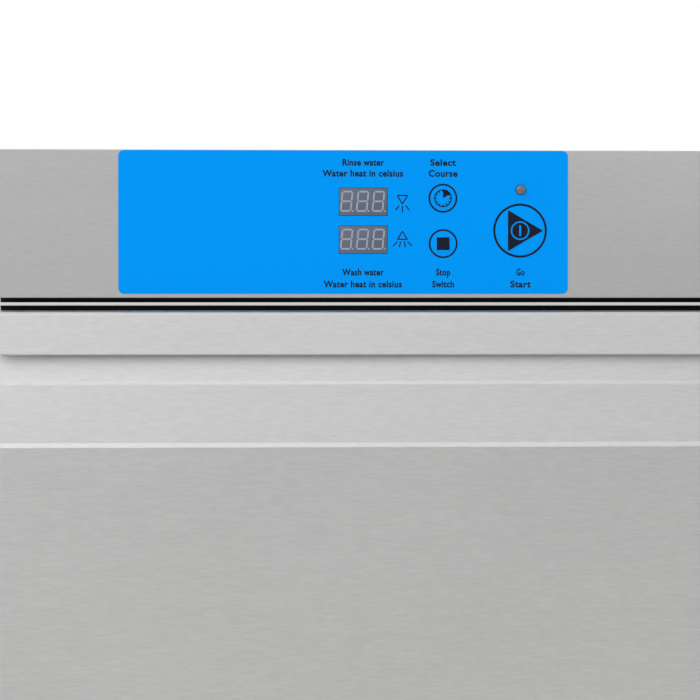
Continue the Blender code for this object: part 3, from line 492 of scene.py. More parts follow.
def dress_node(name, finish):
    """Gives a CAD node that stays its material."""
    node = frame["nodes"][name]
    node.data.materials.clear()
    node.data.materials.append(MATERIALS[finish])


# Control panel

CONTROLS = {"function_key": "function_button", "off_key": "off_button", "on_key": "on_button"}
KEY_FLANGE = 0.0014
HOLE_GAP = 0.0003


def key_place(node):
    """Centre and radius of a key's face."""
    low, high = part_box(node)
    return (low + high) / 2, (high.x - low.x) / 2 - KEY_FLANGE


def control_holes(front, back):
    """Cutters for the keys, displays and lamp."""
    cutters = []
    for node in CONTROLS:
        centre, radius = key_place(node)
        cutters.append(
            prism("hole_" + node, circle((centre.x, centre.z), radius + HOLE_GAP, 96), front, back, "Y")
        )
    for node in ("display_upper", "display_lower"):
        low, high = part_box(node)
        outline = rectangle((low.x - HOLE_GAP, low.z - HOLE_GAP), (high.x + HOLE_GAP, high.z + HOLE_GAP))
        cutters.append(prism("hole_" + node, outline, front, back, "Y"))
    low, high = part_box("status_led")
    middle = (low + high) / 2
    outline = circle((middle.x, middle.z), (high.x - low.x) / 2 + HOLE_GAP, 48)
    cutters.append(prism("hole_led", outline, front, back, "Y"))
    return cutters


def open_box(name, low, high, open_side, bend, thickness=SHEET, fold=None):
    """A folded sheet pan, open on one side (sign and axis). fold is an x and how far back it leans."""
    low, high = Vector(low), Vector(high)
    matrix = Matrix.Translation((low + high) / 2) @ Matrix.Diagonal((high - low).to_4d())
    axis, sign = "XYZ".index(open_side[-1]), -1 if open_side[0] == "-" else 1

    def build(bm):
        bmesh.ops.create_cube(bm, size=1, matrix=matrix)
        gone = [f for f in bm.faces if f.normal[axis] * sign > 0.9]
        bmesh.ops.delete(bm, geom=gone, context="FACES")
        if fold:
            place, lean = fold
            bmesh.ops.bisect_plane(
                bm, geom=bm.verts[:] + bm.edges[:] + bm.faces[:], plane_co=(place, 0, 0), plane_no=(1, 0, 0)
            )
            for vert in bm.verts:
                if vert.co.x > place + 0.001 and vert.co.y < low.y + 0.001:
                    vert.co.y += lean
        sharp = [e for e in bm.edges if not e.is_boundary and e.calc_face_angle(0) > 0.5]
        bmesh.ops.bevel(bm, geom=sharp, offset=bend, segments=4, profile=0.5, affect="EDGES")

    obj = mesh_object(name, build)
    wall = obj.modifiers.new("wall", "SOLIDIFY")
    wall.thickness = thickness
    wall.offset = -1
    wall.use_even_offset = True
    return baked(obj)


def control_fascia():
    low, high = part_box("control_fascia")
    fold_place, fold_lean = 0.239, 0.0015
    fascia = open_box("fascia_pan", low, high, "+Y", 0.0008, fold=(fold_place, fold_lean))
    flattened(carved(fascia, *control_holes(low.y - 0.01, low.y + 0.01)))
    dress(fascia, "fascia_steel", replaces=["control_fascia"])


def control_overlay():
    low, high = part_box("control_overlay")
    corner, past = 0.0045, 0.01
    film = prism("overlay_film", rectangle((low.x, low.z), (high.x, high.z), corner, 10), low.y, high.y, "Y")
    carved(film, *control_holes(low.y - past, low.y + past))
    dress(film, "blue_film", replaces=["control_overlay"])


def stroke(name, start, end, width, front, back):
    """A thin straight ink line."""
    start, end = Vector(start), Vector(end)
    side = (end - start).normalized()
    side = Vector((-side.y, side.x)) * width / 2
    return prism(name, [start + side, start - side, end - side, end + side], front, back, "Y")


def ring(name, centre, outer, inner, front, back, steps=96):
    """A flat ring in the front plane."""
    body = prism(name, circle(centre, outer, steps), front, back, "Y")
    return carved(body, prism(name + "_hole", circle(centre, inner, steps), front - 0.001, back + 0.001, "Y"))


def icons():
    """Spray symbols beside the displays: a triangle over rays for rinse, and one that points up for wash."""
    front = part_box("control_overlay")[0].y - LINE
    back = front + 2 * LINE
    width, x = 0.0009, 0.0143
    top, tip, half, ray_top, ray_bottom = 0.8145, 0.8079, 0.0040, 0.8066, 0.8031
    rinse = [(x - half, top), (x + half, top), (x, tip)]
    rays = [((x - 0.0026, ray_top), (x - 0.0054, ray_bottom)), ((x, 0.8064), (x, 0.8013)),
            ((x + 0.0026, ray_top), (x + 0.0054, ray_bottom))]
    apex, base, reach, fan_top, fan_bottom = 0.7866, 0.7803, 0.0038, 0.7788, 0.7745
    wash = [(x - reach, base), (x + reach, base), (x, apex)]
    for k in (-1.8, -0.6, 0.6, 1.8):
        start = (x + 0.0022 * k, fan_top - 0.0002 * abs(k))
        rays.append((start, (x + 0.0041 * k, fan_bottom + 0.0006 * (abs(k) - 1))))
    strokes = []
    for shape in (rinse, wash):
        for one, two in zip(shape, shape[1:] + shape[:1]):
            strokes.append(stroke("icon_line", one, two, width, front, back))
    for one, two in rays:
        strokes.append(stroke("icon_ray", one, two, width, front, back))
    dress(gathered("spray_icons", strokes), "ink")


def label(name, words, x, z, height, width):
    """Generic lettering, printed in ink, centred at x with its baseline at z and fitted to a width."""
    curve = bpy.data.curves.new(name, "FONT")
    curve.body = words
    curve.size = height * 1.37
    curve.align_x = "CENTER"
    curve.offset = 0.00023
    curve.resolution_u = 4
    curve.space_character = 1.08
    curve.extrude = LINE
    text = bpy.data.objects.new(name + "_text", curve)
    bpy.context.scene.collection.objects.link(text)
    text.location = (x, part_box("control_overlay")[0].y, z)
    text.rotation_euler = (math.radians(90), 0, 0)
    bpy.context.view_layer.update()
    text.scale = (width / text.dimensions.x, 1, 1)
    bpy.context.view_layer.update()
    mesh = bpy.data.meshes.new_from_object(text.evaluated_get(bpy.context.evaluated_depsgraph_get()))
    mesh.transform(text.matrix_world)
    bpy.data.objects.remove(text)

    def build(bm):
        bm.from_mesh(mesh)
        bmesh.ops.remove_doubles(bm, verts=bm.verts, dist=1e-6)

    return dress(mesh_object(name, build), "ink")


def labels():
    rows = {"top": (0.8378, 0.8293), "bottom": (0.7523, 0.7430)}
    words = [
        ("rinse", -0.0165, "top", ("Rinse water", 0.0325), ("Water heat in celsius", 0.0630)),
        ("wash", -0.0165, "bottom", ("Wash water", 0.0325), ("Water heat in celsius", 0.0610)),
        ("cycle", 0.0460, "top", ("Select", 0.0200), ("Course", 0.0225)),
        ("stop", 0.0462, "bottom", ("Stop", 0.0110), ("Switch", 0.0170)),
        ("start", 0.1068, "bottom", ("Go", 0.0065), ("Start", 0.0160)),
    ]
    height = 0.0052
    for name, x, row, *lines in words:
        for place, z, (line, width) in zip(("upper", "lower"), rows[row], lines):
            label(f"label_{name}_{place}", line, x, z, height, width)


def displays():
    """LED modules: a grey window with three unlit slanted digits."""
    digit_height, digit_width, pitch, bar, slant = 0.0150, 0.0078, 0.0124, 0.0013, math.tan(math.radians(6))
    for node in ("display_upper", "display_lower"):
        low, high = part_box(node)
        middle = (low + high) / 2
        body = block(node + "_window", low, high, 0.0003)
        dress(body, "window", replaces=[node])
        front, back = low.y - LINE, low.y + LINE
        parts = []
        for k in (-1, 0, 1):
            centre = (middle.x + k * pitch - 0.0006, middle.z + 0.0004)
            parts += digit(centre, digit_width, digit_height, bar, slant, front, back)
        dress(gathered(node + "_segments", parts), "segments")


def digit(centre, width, height, bar, slant, front, back):
    """The seven bars and the point of one digit."""
    w, h, gap = width / 2, height / 2, bar * 0.18
    lines = [((-w, h), (w, h)), ((-w, 0), (w, 0)), ((-w, -h), (w, -h))]
    lines += [((s * w, y + h), (s * w, y)) for s in (-1, 1) for y in (0, -h)]
    parts = []

    def lean(x, z):
        return Vector((centre[0] + x + z * slant, centre[1] + z))

    for one, two in lines:
        one, two = Vector(one), Vector(two)
        along = (two - one).normalized()
        across = Vector((-along.y, along.x)) * bar / 2
        one, two = one + along * gap, two - along * gap
        tip = along * bar / 2
        points = [one, one + tip + across, two - tip + across, two, two - tip - across, one + tip - across]
        parts.append(prism("segment", [lean(p.x, p.y) for p in points], front, back, "Y"))
    dot = circle((w + bar * 1.3, -h), bar * 0.55, 12)
    parts.append(prism("point", [lean(p.x, p.y) for p in dot], front, back, "Y"))
    return parts


def key_cap(node, crown):
    """A round key with a softly crowned face."""
    centre, radius = key_place(node)
    low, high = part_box(node)
    edge = 0.0005
    flange_front = high.y - 0.0017
    profile = [(0, low.y)]
    profile += [(radius * 0.92 * k / 8, low.y + crown * (k / 8) ** 2) for k in range(1, 9)]
    profile += [(radius - edge * 0.3, low.y + crown + edge * 0.3), (radius, low.y + crown + edge)]
    profile += [
        (radius, flange_front), (radius + KEY_FLANGE, flange_front), (radius + KEY_FLANGE, high.y),
        (0, high.y)
    ]
    cap = lathe(node + "_cap", profile, (centre.x, 0, centre.z), "Y", 96)
    dress(cap, "blue_film", CONTROLS[node], [node])


def bead(node, outer, width, height, face):
    """The raised ring round a key's face."""
    centre, _ = key_place(node)
    middle = outer - width / 2
    profile = [(middle + width / 2 * math.cos(a), face - height * math.sin(a))
               for a in [math.pi * k / 8 for k in range(9)]]
    profile += [(middle - width / 2, face + height), (middle + width / 2, face + height)]
    return dress(
        lathe(node + "_ring", profile, (centre.x, 0, centre.z), "Y", 96), "ink",
        CONTROLS[node]
    )


def keys():
    crown, face_line = 0.0003, 0.0012
    for node in CONTROLS:
        key_cap(node, crown)
    for node, width in (("function_key", face_line), ("off_key", face_line), ("on_key", 0.0015)):
        _, radius = key_place(node)
        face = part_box(node)[0].y + crown * 0.95
        bead(node, radius + 0.0001, width, 0.00022, face)
    function_symbol()
    off_symbol()
    on_symbol()


def key_front(node):
    """Front and back of the ink on a key, clear of its crown."""
    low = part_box(node)[0]
    return low.y - LINE, low.y + 4 * LINE


def function_symbol():
    """A clock face with twelve ticks and one sixth filled."""
    centre, _ = key_place("function_key")
    middle = (centre.x, centre.z)
    front, back = key_front("function_key")
    outer, line, tick = 0.0069, 0.0008, 0.0013
    parts = [ring("clock_rim", middle, outer, outer - line, front, back)]
    for k in range(12):
        angle = math.pi * k / 6
        way = Vector((math.cos(angle), math.sin(angle)))
        start, end = Vector(middle) + way * (outer - line - tick), Vector(middle) + way * (outer - line / 2)
        parts.append(stroke("clock_tick", start, end, line, front, back))
    wedge = [Vector(middle)] + circle(middle, outer - line / 2, 12, math.radians(30), math.radians(60))
    parts.append(prism("clock_wedge", wedge, front, back, "Y"))
    dress(gathered("function_key_clock", parts), "ink", CONTROLS["function_key"])


def off_symbol():
    centre, _ = key_place("off_key")
    half = 0.0050
    front, back = key_front("off_key")
    outline = rectangle((centre.x - half, centre.z - half), (centre.x + half, centre.z + half), 0.0003, 3)
    dress(prism("off_key_square", outline, front, back, "Y"), "ink", CONTROLS["off_key"])


def on_symbol():
    """A solid arrowhead with an open ring and a bar in it."""
    centre, _ = key_place("on_key")
    front, back = key_front("on_key")
    left, right, half = centre.x - 0.0095, centre.x + 0.0179, 0.0160
    outline = rounded([(left, centre.z - half), (right, centre.z), (left, centre.z + half)], 0.0004, 4)
    arrow = prism("on_key_arrow", outline, front, back, "Y")
    middle = (centre.x, centre.z)
    outer, inner, bar = 0.0073, 0.0062, (0.0007, 0.0042)
    hole = ring("on_key_gap", middle, outer, inner, front - 0.001, back + 0.001)
    slot = prism(
        "on_key_slot", rectangle(
            (centre.x - bar[0], centre.z - bar[1]), (centre.x + bar[0], centre.z + bar[1])
        ),
        front - 0.001, back + 0.001, "Y",
    )
    dress(carved(arrow, hole, slot), "ink", CONTROLS["on_key"])


def status_lamp():
    low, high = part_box("status_led")
    middle = (low + high) / 2
    radius = (high.x - low.x) / 2
    shoulder = low.y + 0.0016
    profile = [(radius * math.sin(a), low.y + (shoulder - low.y) * (1 - math.cos(a)))
               for a in [math.pi / 2 * k / 10 for k in range(11)]]
    profile += [(radius, high.y), (0, high.y)]
    dress(
        lathe("status_lamp", profile, (middle.x, 0, middle.z), "Y", 48), "lamp",
        replaces=["status_led"]
    )


def shadow_gap_strips():
    """Black strips in the slit behind the drip rail, above and below it: painted shadow, a dark sheet put
    where the gaps are only in shade.
    """
    rail_low, rail_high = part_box("drip_rail")
    fascia_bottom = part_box("control_fascia")[0].z
    door_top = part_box("door_outer_skin")[1].z
    back, depth = rail_high.y, 0.007
    half = rail_high.x - 0.001
    spans = {
        "upper": (rail_high.z + 0.0001, fascia_bottom + 0.0006),
        "lower": (door_top + 0.0008, rail_low.z - 0.0001)
    }
    for name, (bottom, top) in spans.items():
        # Painted shadow: a black rubber strip fills each slit so that it reads dark.
        strip = block("shadow_strip_" + name, (-half, back - depth, bottom), (half, back, top), 0.0003)
        dress(strip, "rubber")


# Door


def door_section():
    """The door's front in section, with each bend's radius, from the top return to the bottom return."""
    low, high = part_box("door_outer_skin")
    front, top, bottom, rear = low.y, high.z, low.z, high.y
    lip_bottom, lip_back, lip_lean = top - 0.0337, front + 0.0060, 0.0032
    recess_back, recess_top, recess_mouth = front + 0.0168, top - 0.0080, top - 0.0350
    band_top, band_bottom, face = top - 0.0552, top - 0.1034, front + 0.0080
    bead, crease = 0.0013, 0.0018
    points = [
        ((rear, top), 0), ((front + lip_lean, top), 0.0026), ((front, lip_bottom), 0.0012),
        ((lip_back, lip_bottom), 0.0010), ((lip_back + 0.8 * lip_lean, recess_top), 0.0015),
        ((recess_back, recess_top), 0.0030), ((recess_back, recess_mouth), 0.0700),
        ((front + 0.0141, band_top + bead), 0.0012), ((front + 0.0134, band_top - bead), 0.0012),
        ((face + 0.0009, band_bottom + crease), 0.0008), ((face, band_bottom - crease), 0.0012),
        ((face, bottom), 0.0020), ((rear, bottom), 0)
    ]
    return rounded([p for p, _ in points], [r for _, r in points], 6, closed=False)


def door_outer_skin():
    low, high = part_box("door_outer_skin")
    path = door_section()
    notch_half, notch_top = 0.2666, 0.2335

    def build(bm):
        rows = [[bm.verts.new((x, p.x, p.y)) for p in path] for x in (low.x, high.x)]
        for k in range(len(path) - 1):
            bm.faces.new((rows[0][k], rows[1][k], rows[1][k + 1], rows[0][k + 1]))
        bm.faces.new(rows[0])
        bm.faces.new(list(reversed(rows[1])))

    skin = mesh_object("door_skin", build)
    wall = skin.modifiers.new("wall", "SOLIDIFY")
    wall.thickness = SHEET
    wall.offset = -1
    baked(skin)
    cutters = []
    for side in (-1, 1):
        ends = sorted((side * notch_half, side * (high.x - SHEET)))
        cutters.append(
            block("door_notch", (ends[0], low.y + 0.0095, low.z - 0.01), (ends[1], high.y + 0.01, notch_top))
        )
    flattened(carved(skin, *cutters))
    dress(skin, "door_steel", "door", ["door_outer_skin"])


def nested(outline_of, section, closed=True):
    """Joins rings of equal point count, outline_of(margin) at y for each (margin, y) in section."""
    def build(bm):
        rings = [[bm.verts.new((p.x, y, p.y)) for p in outline_of(margin)] for margin, y in section]
        pairs = list(zip(rings, rings[1:])) + ([(rings[-1], rings[0])] if closed else [])
        for one, two in pairs:
            for k in range(len(one)):
                n = (k + 1) % len(one)
                bm.faces.new((one[k], one[n], two[n], two[k]))
        if not closed:
            bm.faces.new(rings[-1])

    return build


def door_inner_liner():
    """The inner pan with its pressed boss and the two hinge notches."""
    low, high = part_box("door_inner_liner")
    notch_x, notch_z, boss_half, boss_low, boss_high, corner = 0.2670, 0.2335, 0.245, 0.262, 0.683, 0.030
    outline = [
        (-notch_x, low.z), (notch_x, low.z), (notch_x, notch_z), (high.x, notch_z), (high.x, high.z),
        (low.x, high.z), (low.x, notch_z), (-notch_x, notch_z),
    ]
    pan = prism("liner_pan", outline, low.y, low.y + SHEET, "Y")

    def boss_outline(inset):
        return rectangle(
            (inset - boss_half, boss_low + inset), (boss_half - inset, boss_high - inset), corner - inset
        )

    carved(pan, prism("boss_hole", boss_outline(0), low.y - 0.01, high.y + 0.01, "Y"))
    base, rise = low.y + SHEET, high.y - low.y - SHEET
    section = [(0, base), (0.0008, base + 0.0001), (0.0018, base + 0.0007), (0.0034, base + rise - 0.0009),
               (0.0046, base + rise - 0.0002), (0.0058, base + rise)]
    boss = mesh_object("liner_boss", nested(boss_outline, section, closed=False))
    wall = boss.modifiers.new("wall", "SOLIDIFY")
    wall.thickness = SHEET
    wall.offset = -1
    baked(boss)
    dress(gathered("door_liner", [pan, boss]), "inner_steel", "door", ["door_inner_liner"])


def door_gasket():
    """A black seal round the opening with two soft ribs towards the door."""
    low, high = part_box("door_gasket")
    outer_corner, width = 0.024, 0.0095
    depth = high.y - low.y

    def ring_outline(inset):
        return rectangle(
            (low.x + inset, low.z + inset), (high.x - inset, high.z - inset), outer_corner - inset, 10
        )

    section = [(0, high.y), (0, high.y - 0.45 * depth)]
    for start, end in ((0.0004, 0.0040), (0.0055, width - 0.0004)):
        for k in range(9):
            share = k / 8
            section.append(
                (start + (end - start) * share, low.y + 0.4 * depth * (1 - math.sin(math.pi * share) ** 0.7))
            )
    section += [(width, high.y - 0.45 * depth), (width, high.y)]
    dress(mesh_object(
        "gasket", nested(ring_outline, section)
    ), "rubber", body_of("door_gasket"),
          ["door_gasket"])


def hinge_pins():
    """Headed pins with a chamfered end and a clip groove."""
    for side in (-1, 1):
        node = side_name("hinge_pin", side)
        low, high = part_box(node)
        middle = (low + high) / 2
        near, far = sorted((abs(low.x), abs(high.x)))
        head, radius = (high.z - low.z) / 2, 0.0045
        profile = [
            (0, far), (head - 0.0012, far), (head - 0.0003, far - 0.0005), (head, far - 0.0012),
            (head, far - 0.0032), (radius, far - 0.0032), (radius, near + 0.0022),
            (radius - 0.0008, near + 0.0020), (radius - 0.0008, near + 0.0012), (radius, near + 0.0010),
            (radius - 0.0006, near), (0, near)
        ]
        pin = lathe(node + "_turned", [(r, h * side) for r, h in profile], (0, middle.y, middle.z), "X", 40)
        dress(pin, "machined", body_of(node), [node])


def door_springs():
    """Torsion springs: one leg bears on the bracket and the other on the door's arm."""
    for side in (-1, 1):
        node = side_name("door_spring", side)
        low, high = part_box(node)
        middle = (low + high) / 2
        near, far = sorted((abs(low.x), abs(high.x)))
        wire = 0.0011
        mean, turns, steps = (high.z - low.z) / 2 - wire, 5, 28
        start, end = near + wire, far - wire
        points = [(side * start, middle.y + mean, middle.z + 0.012)]
        for k in range(turns * steps + 1):
            angle = 2 * math.pi * k / steps
            x = start + (end - start) * k / (turns * steps)
            points.append((side * x, middle.y + mean * math.cos(angle), middle.z + mean * math.sin(angle)))
        points.append((side * end, middle.y + mean, middle.z - 0.008))
        spring = dress(pipe(node + "_coil", points, wire, 12), "spring_wire", None, [node])
        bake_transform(spring)


# Casing


def sheet_panels():
    """The side panels and the lower front, folded from sheet with small bends."""
    flange, bend = 0.014, 0.0022
    for side in (-1, 1):
        node = side_name("side_panel", side)
        low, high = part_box(node)
        outer = max(abs(low.x), abs(high.x))
        path = [(side * x, y) for x, y in (
            (outer - flange, low.y), (outer, low.y), (outer, high.y), (outer - flange, high.y),
        )]
        if side < 0:
            path.reverse()
        panel = prism(node + "_sheet", folded(rounded(path, bend, closed=False)), low.z, high.z, "Z")
        dress(flattened(panel), "panel_steel", replaces=[node])
    low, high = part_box("lower_front_panel")
    path = [(low.x, high.y), (low.x, low.y), (high.x, low.y), (high.x, high.y)]
    panel = prism("kick_panel", folded(rounded(path, bend, closed=False)), low.z, high.z, "Z")
    dress(flattened(panel), "door_steel", replaces=["lower_front_panel"])


def top_shell():
    low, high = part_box("top_panel")
    shell = open_box("top_shell", low, high, "-Z", 0.0022)
    dress(flattened(shell), "top_steel", replaces=["top_panel"])


def drip_rail():
    low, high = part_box("drip_rail")
    nose = 0.0003
    outline = rounded(
        [(low.y, low.z), (high.y, low.z), (high.y, high.z), (low.y, high.z)], [nose, 0, 0, nose], 8
    )
    # The rail's lighter steel is partly a painted highlight.
    dress(
        prism("drip_edge", outline, low.x, high.x, "X"), "rail_polish_and_highlight",
        replaces=["drip_rail"]
    )


def pan_head(radius, height):
    """A screw's pan head with a cross recess, seated on the origin and pointing along +Z."""
    profile = [(0, height)]
    profile += [
        (radius * math.sin(a), height * math.cos(a) ** 0.5)
        for a in [math.pi / 2 * k / 9 for k in range(1, 9)]
    ]
    profile += [(radius, height * 0.15), (radius, 0), (0, 0)]
    head = lathe("head", profile, (0, 0, 0), "Z", 28)
    arm, width, deep = radius * 0.62, radius * 0.2, height * 0.45
    across = block("recess_across", (-arm, -width / 2, deep), (arm, width / 2, 2 * height))
    along = block("recess_along", (-width / 2, -arm, deep), (width / 2, arm, 2 * height))
    return carved(head, across, along)


def screws():
    backward, forward = Euler((math.radians(-90), 0, 0)), Euler((math.radians(90), 0, 0))
    low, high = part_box("rear_panel")
    margin, rows = 0.011, 6
    places = []
    for x in (low.x + margin, high.x - margin):
        places += [
            (x, high.y, low.z + margin + k * (high.z - low.z - 2 * margin) / (rows - 1)) for k in range(rows)
        ]
    places += [(x, high.y, z) for x in (-0.1, 0.1) for z in (low.z + margin, high.z - margin)]
    heads = copies("rear_panel_screws", pan_head(0.0038, 0.0022), places, [backward] * len(places))
    dress(heads, "machined")
    low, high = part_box("top_panel")
    places = [(x, high.y, (low.z + high.z) / 2) for x in (-0.24, -0.08, 0.08, 0.24)]
    heads = copies("top_panel_screws", pan_head(0.0036, 0.0020), places, [backward] * len(places))
    dress(heads, "machined")
    low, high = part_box("lower_front_panel")
    places = [(x, low.y, 0.074) for x in (-0.27, 0.27)]
    heads = copies("kick_panel_screws", pan_head(0.0040, 0.0022), places, [forward] * len(places))
    dress(heads, "machined")


def feet():
    """Threaded stems on hexagon-shouldered pads."""
    for node in [name for name in frame["nodes"] if name.startswith("foot_")]:
        low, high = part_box(node)
        middle = (low + high) / 2
        pad, stem, crest, pitch, shoulder = (high.x - low.x) / 2, 0.0078, 0.0089, 0.00175, 0.0347
        profile = [(0, high.z), (stem - 0.001, high.z), (stem, high.z - 0.001)]
        z = high.z - 0.002
        while z > shoulder + 0.003:
            profile += [
                (crest, z), (crest, z - pitch * 0.15), (stem, z - pitch * 0.5), (stem, z - pitch * 0.6)
            ]
            z -= pitch
        profile += [(stem, shoulder), (pad * 0.62, shoulder), (pad * 0.62, shoulder - 0.008)]
        profile += [
            (pad * 0.70, 0.017), (pad * 0.92, 0.012), (pad, 0.010), (pad, 0.0025), (pad - 0.0015, 0.0006)
        ]
        profile += [(pad - 0.0035, 0), (0, 0)]
        turned_foot = lathe("foot_turned", profile, (middle.x, middle.y, 0), "Z", 48)
        hexagon = circle((middle.x, middle.y), 0.0168, 6)
        nut = prism("foot_hexagon", hexagon, shoulder - 0.0095, shoulder - 0.0015, "Z", 0.0005, 2)
        dress(
            gathered(node + "_threaded", [turned_foot, nut]), "machined", body_of(node),
            [node]
        )


# Chamber


def wash_chamber():
    """The inner box: a bent wrapper with rounded corners, welded along a seam to a back wall."""
    low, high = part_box("wash_chamber")
    corner, sheet = 0.0212, SHEET
    path = rounded(
        [(low.x, low.z), (low.x, high.z), (high.x, high.z), (high.x, low.z)], corner, 14, closed=False
    )
    wrapper = prism("wrapper", folded(list(reversed(path)), sheet), low.y, high.y - sheet, "Y")
    feed = centre_of("upper_spindle")
    carved(
        wrapper,
        lathe(
            "feed",
            [(0.008, high.z + 0.01), (0.0, high.z + 0.01), (0, high.z - 0.01), (0.008, high.z - 0.01)],
            (feed.x, feed.y, 0), "Z", 32
        )
    )
    back_outline = [(low.x, low.z), (high.x, low.z)] + rounded(
        [(high.x, low.z), (high.x, high.z), (low.x, high.z), (low.x, low.z)], corner, 14, closed=False)[1:-1]
    back = prism("back_wall", back_outline, high.y - sheet, high.y, "Y")
    inner = corner - sheet
    weld = pipe(
        "weld",
        [
            (p.x, high.y - sheet - 0.0002, p.y)
            for p in rounded(
                [
                    (low.x + sheet, low.z), (low.x + sheet, high.z - sheet), (high.x - sheet, high.z - sheet),
                    (high.x - sheet, low.z)
                ],
                inner, 14, closed=False
            )
        ],
        0.0009, 8
    )
    dress(
        gathered("chamber_walls", [wrapper, back, weld]), "chamber_steel",
        replaces=["wash_chamber"]
    )


def tank_heater():
    """A tubular element with a hexagon flange and a round boss behind the tank."""
    low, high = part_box("tank_heater")
    x, z = (low.x + high.x) / 2, (low.z + high.z) / 2
    wire, clearance, bend = 0.0036, 0.0004, 0.012
    half_width = (high.x - low.x) / 2 - wire - clearance
    root, shoulder, neck, face = 0.009, 0.205, 0.225, 0.2577
    half = [
        (root, face - 0.004), (root, neck), (half_width, shoulder), (half_width, low.y + wire + clearance)
    ]
    legs = [Vector((x - a, y, z)) for a, y in half] + [Vector((x + a, y, z)) for a, y in reversed(half)]
    element = pipe("heater_tube", rounded(legs, bend, 10, closed=False), wire, 16)
    across, thickness, edge = 0.0218, 0.0046, 0.0006
    flange = prism("heater_flange", circle((x, z), across, 6), face - thickness, face, "Y", edge)
    rear, front, outer, inner = 0.263, 0.256, 0.0158, 0.0150
    profile = [(0, rear), (inner, rear), (outer, rear - 0.0008), (outer, front), (0, front)]
    boss = lathe("heater_boss", profile, (x, 0, z), "Y", 40)
    whole = gathered("tank_heater_element", [element, flange, boss])
    dress(whole, "machined", replaces=["tank_heater"])


def perforated(name, low, high, pitch, hole, keep_clear):
    """A sheet with round holes, plain at its rim and within keep_clear circles (x, y, radius, bore)."""
    across, along = int((high.x - low.x) / pitch), int((high.y - low.y) / pitch)
    step = Vector(((high.x - low.x) / across, (high.y - low.y) / along))

    def build(bm):
        shared = {}

        def vert(x, y):
            key = (round(x, 6), round(y, 6))
            if key not in shared:
                shared[key] = bm.verts.new((x, y, high.z))
            return shared[key]

        for i in range(across):
            for j in range(along):
                x, y = low.x + i * step.x, low.y + j * step.y
                middle = Vector((x + step.x / 2, y + step.y / 2))
                rim = i in (0, across - 1) or j in (0, along - 1)
                near = any((middle - Vector(c[:2])).length < c[2] for c in keep_clear)
                corners = [
                    (x, y), (x + step.x / 2, y), (x + step.x, y), (x + step.x, y + step.y / 2),
                    (x + step.x, y + step.y), (x + step.x / 2, y + step.y), (x, y + step.y),
                    (x, y + step.y / 2)
                ]
                outer = [vert(*c) for c in corners]
                if rim or near:
                    bm.faces.new(outer)
                    continue
                inner = [vert(middle.x + hole * math.cos(a), middle.y + hole * math.sin(a))
                         for a in [math.pi * (k - 3) / 4 for k in range(8)]]
                for k in range(8):
                    n = (k + 1) % 8
                    bm.faces.new((outer[k], outer[n], inner[n], inner[k]))

    sheet = mesh_object(name, build)
    wall = sheet.modifiers.new("wall", "SOLIDIFY")
    wall.thickness = SHEET
    wall.offset = 1 if sheet.data.polygons[0].normal.z < 0 else -1
    baked(sheet)
    bores = [
        lathe(
            "bore", [(0, high.z + 0.01), (c[3], high.z + 0.01), (c[3], low.z - 0.01), (0, low.z - 0.01)],
            (c[0], c[1], 0), "Z", 40
        )
        for c in keep_clear if low.x - c[3] < c[0] < high.x + c[3]
    ]
    return carved(sheet, *bores) if bores else sheet


def tank_filters():
    """Perforated sieve plates with a folded rim and a finger loop each."""
    post, pipe_place = centre_of("lower_spindle"), centre_of("overflow_standpipe")
    clear = [(post.x, post.y, 0.026, 0.0175), (pipe_place.x, pipe_place.y, 0.027, 0.0165)]
    pitch, hole, wire, rim_inset = 0.0100, 0.0029, 0.0015, 0.0016
    loop_x, loop_y, loop_half, loop_height, loop_wire = 0.125, 0.12, 0.022, 0.0085, 0.0016
    for side in (-1, 1):
        node = side_name("tank_filter", side)
        low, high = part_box(node)
        sieve = perforated(node + "_sieve", low, high, pitch, hole, clear)
        rim_path = rectangle((low.x + rim_inset, low.y + rim_inset), (high.x - rim_inset, high.y - rim_inset),
                             0.004, 6)
        rim = pipe("rim", [(p.x, p.y, low.z + rim_inset) for p in rim_path], wire, 8, closed=True)
        left, right, foot, top = side * loop_x - loop_half, side * loop_x + loop_half, high.z - 0.001, high.z
        corners = [
            (left, loop_y, foot), (left, loop_y, top + loop_height), (right, loop_y, top + loop_height),
            (right, loop_y, foot)
        ]
        loop = pipe("loop", rounded(corners, 0.004, 6, closed=False), loop_wire, 12)
        plate = gathered(node + "_plate", [sieve, rim, loop])
        dress(plate, "chamber_steel", replaces=[node])


def overflow_standpipe():
    """The overflow tube with a grip and a soft seal at its foot."""
    node = "overflow_standpipe"
    low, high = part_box(node)
    middle = (low + high) / 2
    radius, bore, grip = 0.0130, 0.0105, 0.0154
    profile = [
        (bore, high.z), (grip - 0.0008, high.z), (grip, high.z - 0.0008), (grip, high.z - 0.0075),
        (radius, high.z - 0.011), (radius, low.z + 0.012), (radius - 0.0006, low.z + 0.011),
        (radius - 0.0006, low.z + 0.010), (radius, low.z + 0.009), (radius, low.z + 0.0045),
        (0.0158, low.z + 0.0032), (0.0158, low.z + 0.0008), (0.0150, low.z), (0.0086, low.z),
        (0.0086, low.z + 0.006), (bore, low.z + 0.009)
    ]
    tube = lathe("standpipe_tube", profile, (middle.x, middle.y, 0), "Z", 56)
    rib = block(
        "rib", (grip - 0.0016, -0.0006, high.z - 0.0072), (grip + 0.0001, 0.0006, high.z - 0.0006), 0.0002
    )
    count = 24
    ribs = copies(
        "ribs", rib, [(middle.x, middle.y, 0)] * count,
        [Euler((0, 0, 2 * math.pi * k / count)) for k in range(count)]
    )
    dress(gathered("overflow_tube", [tube, ribs]), "grey_plastic", body_of(node), [node])


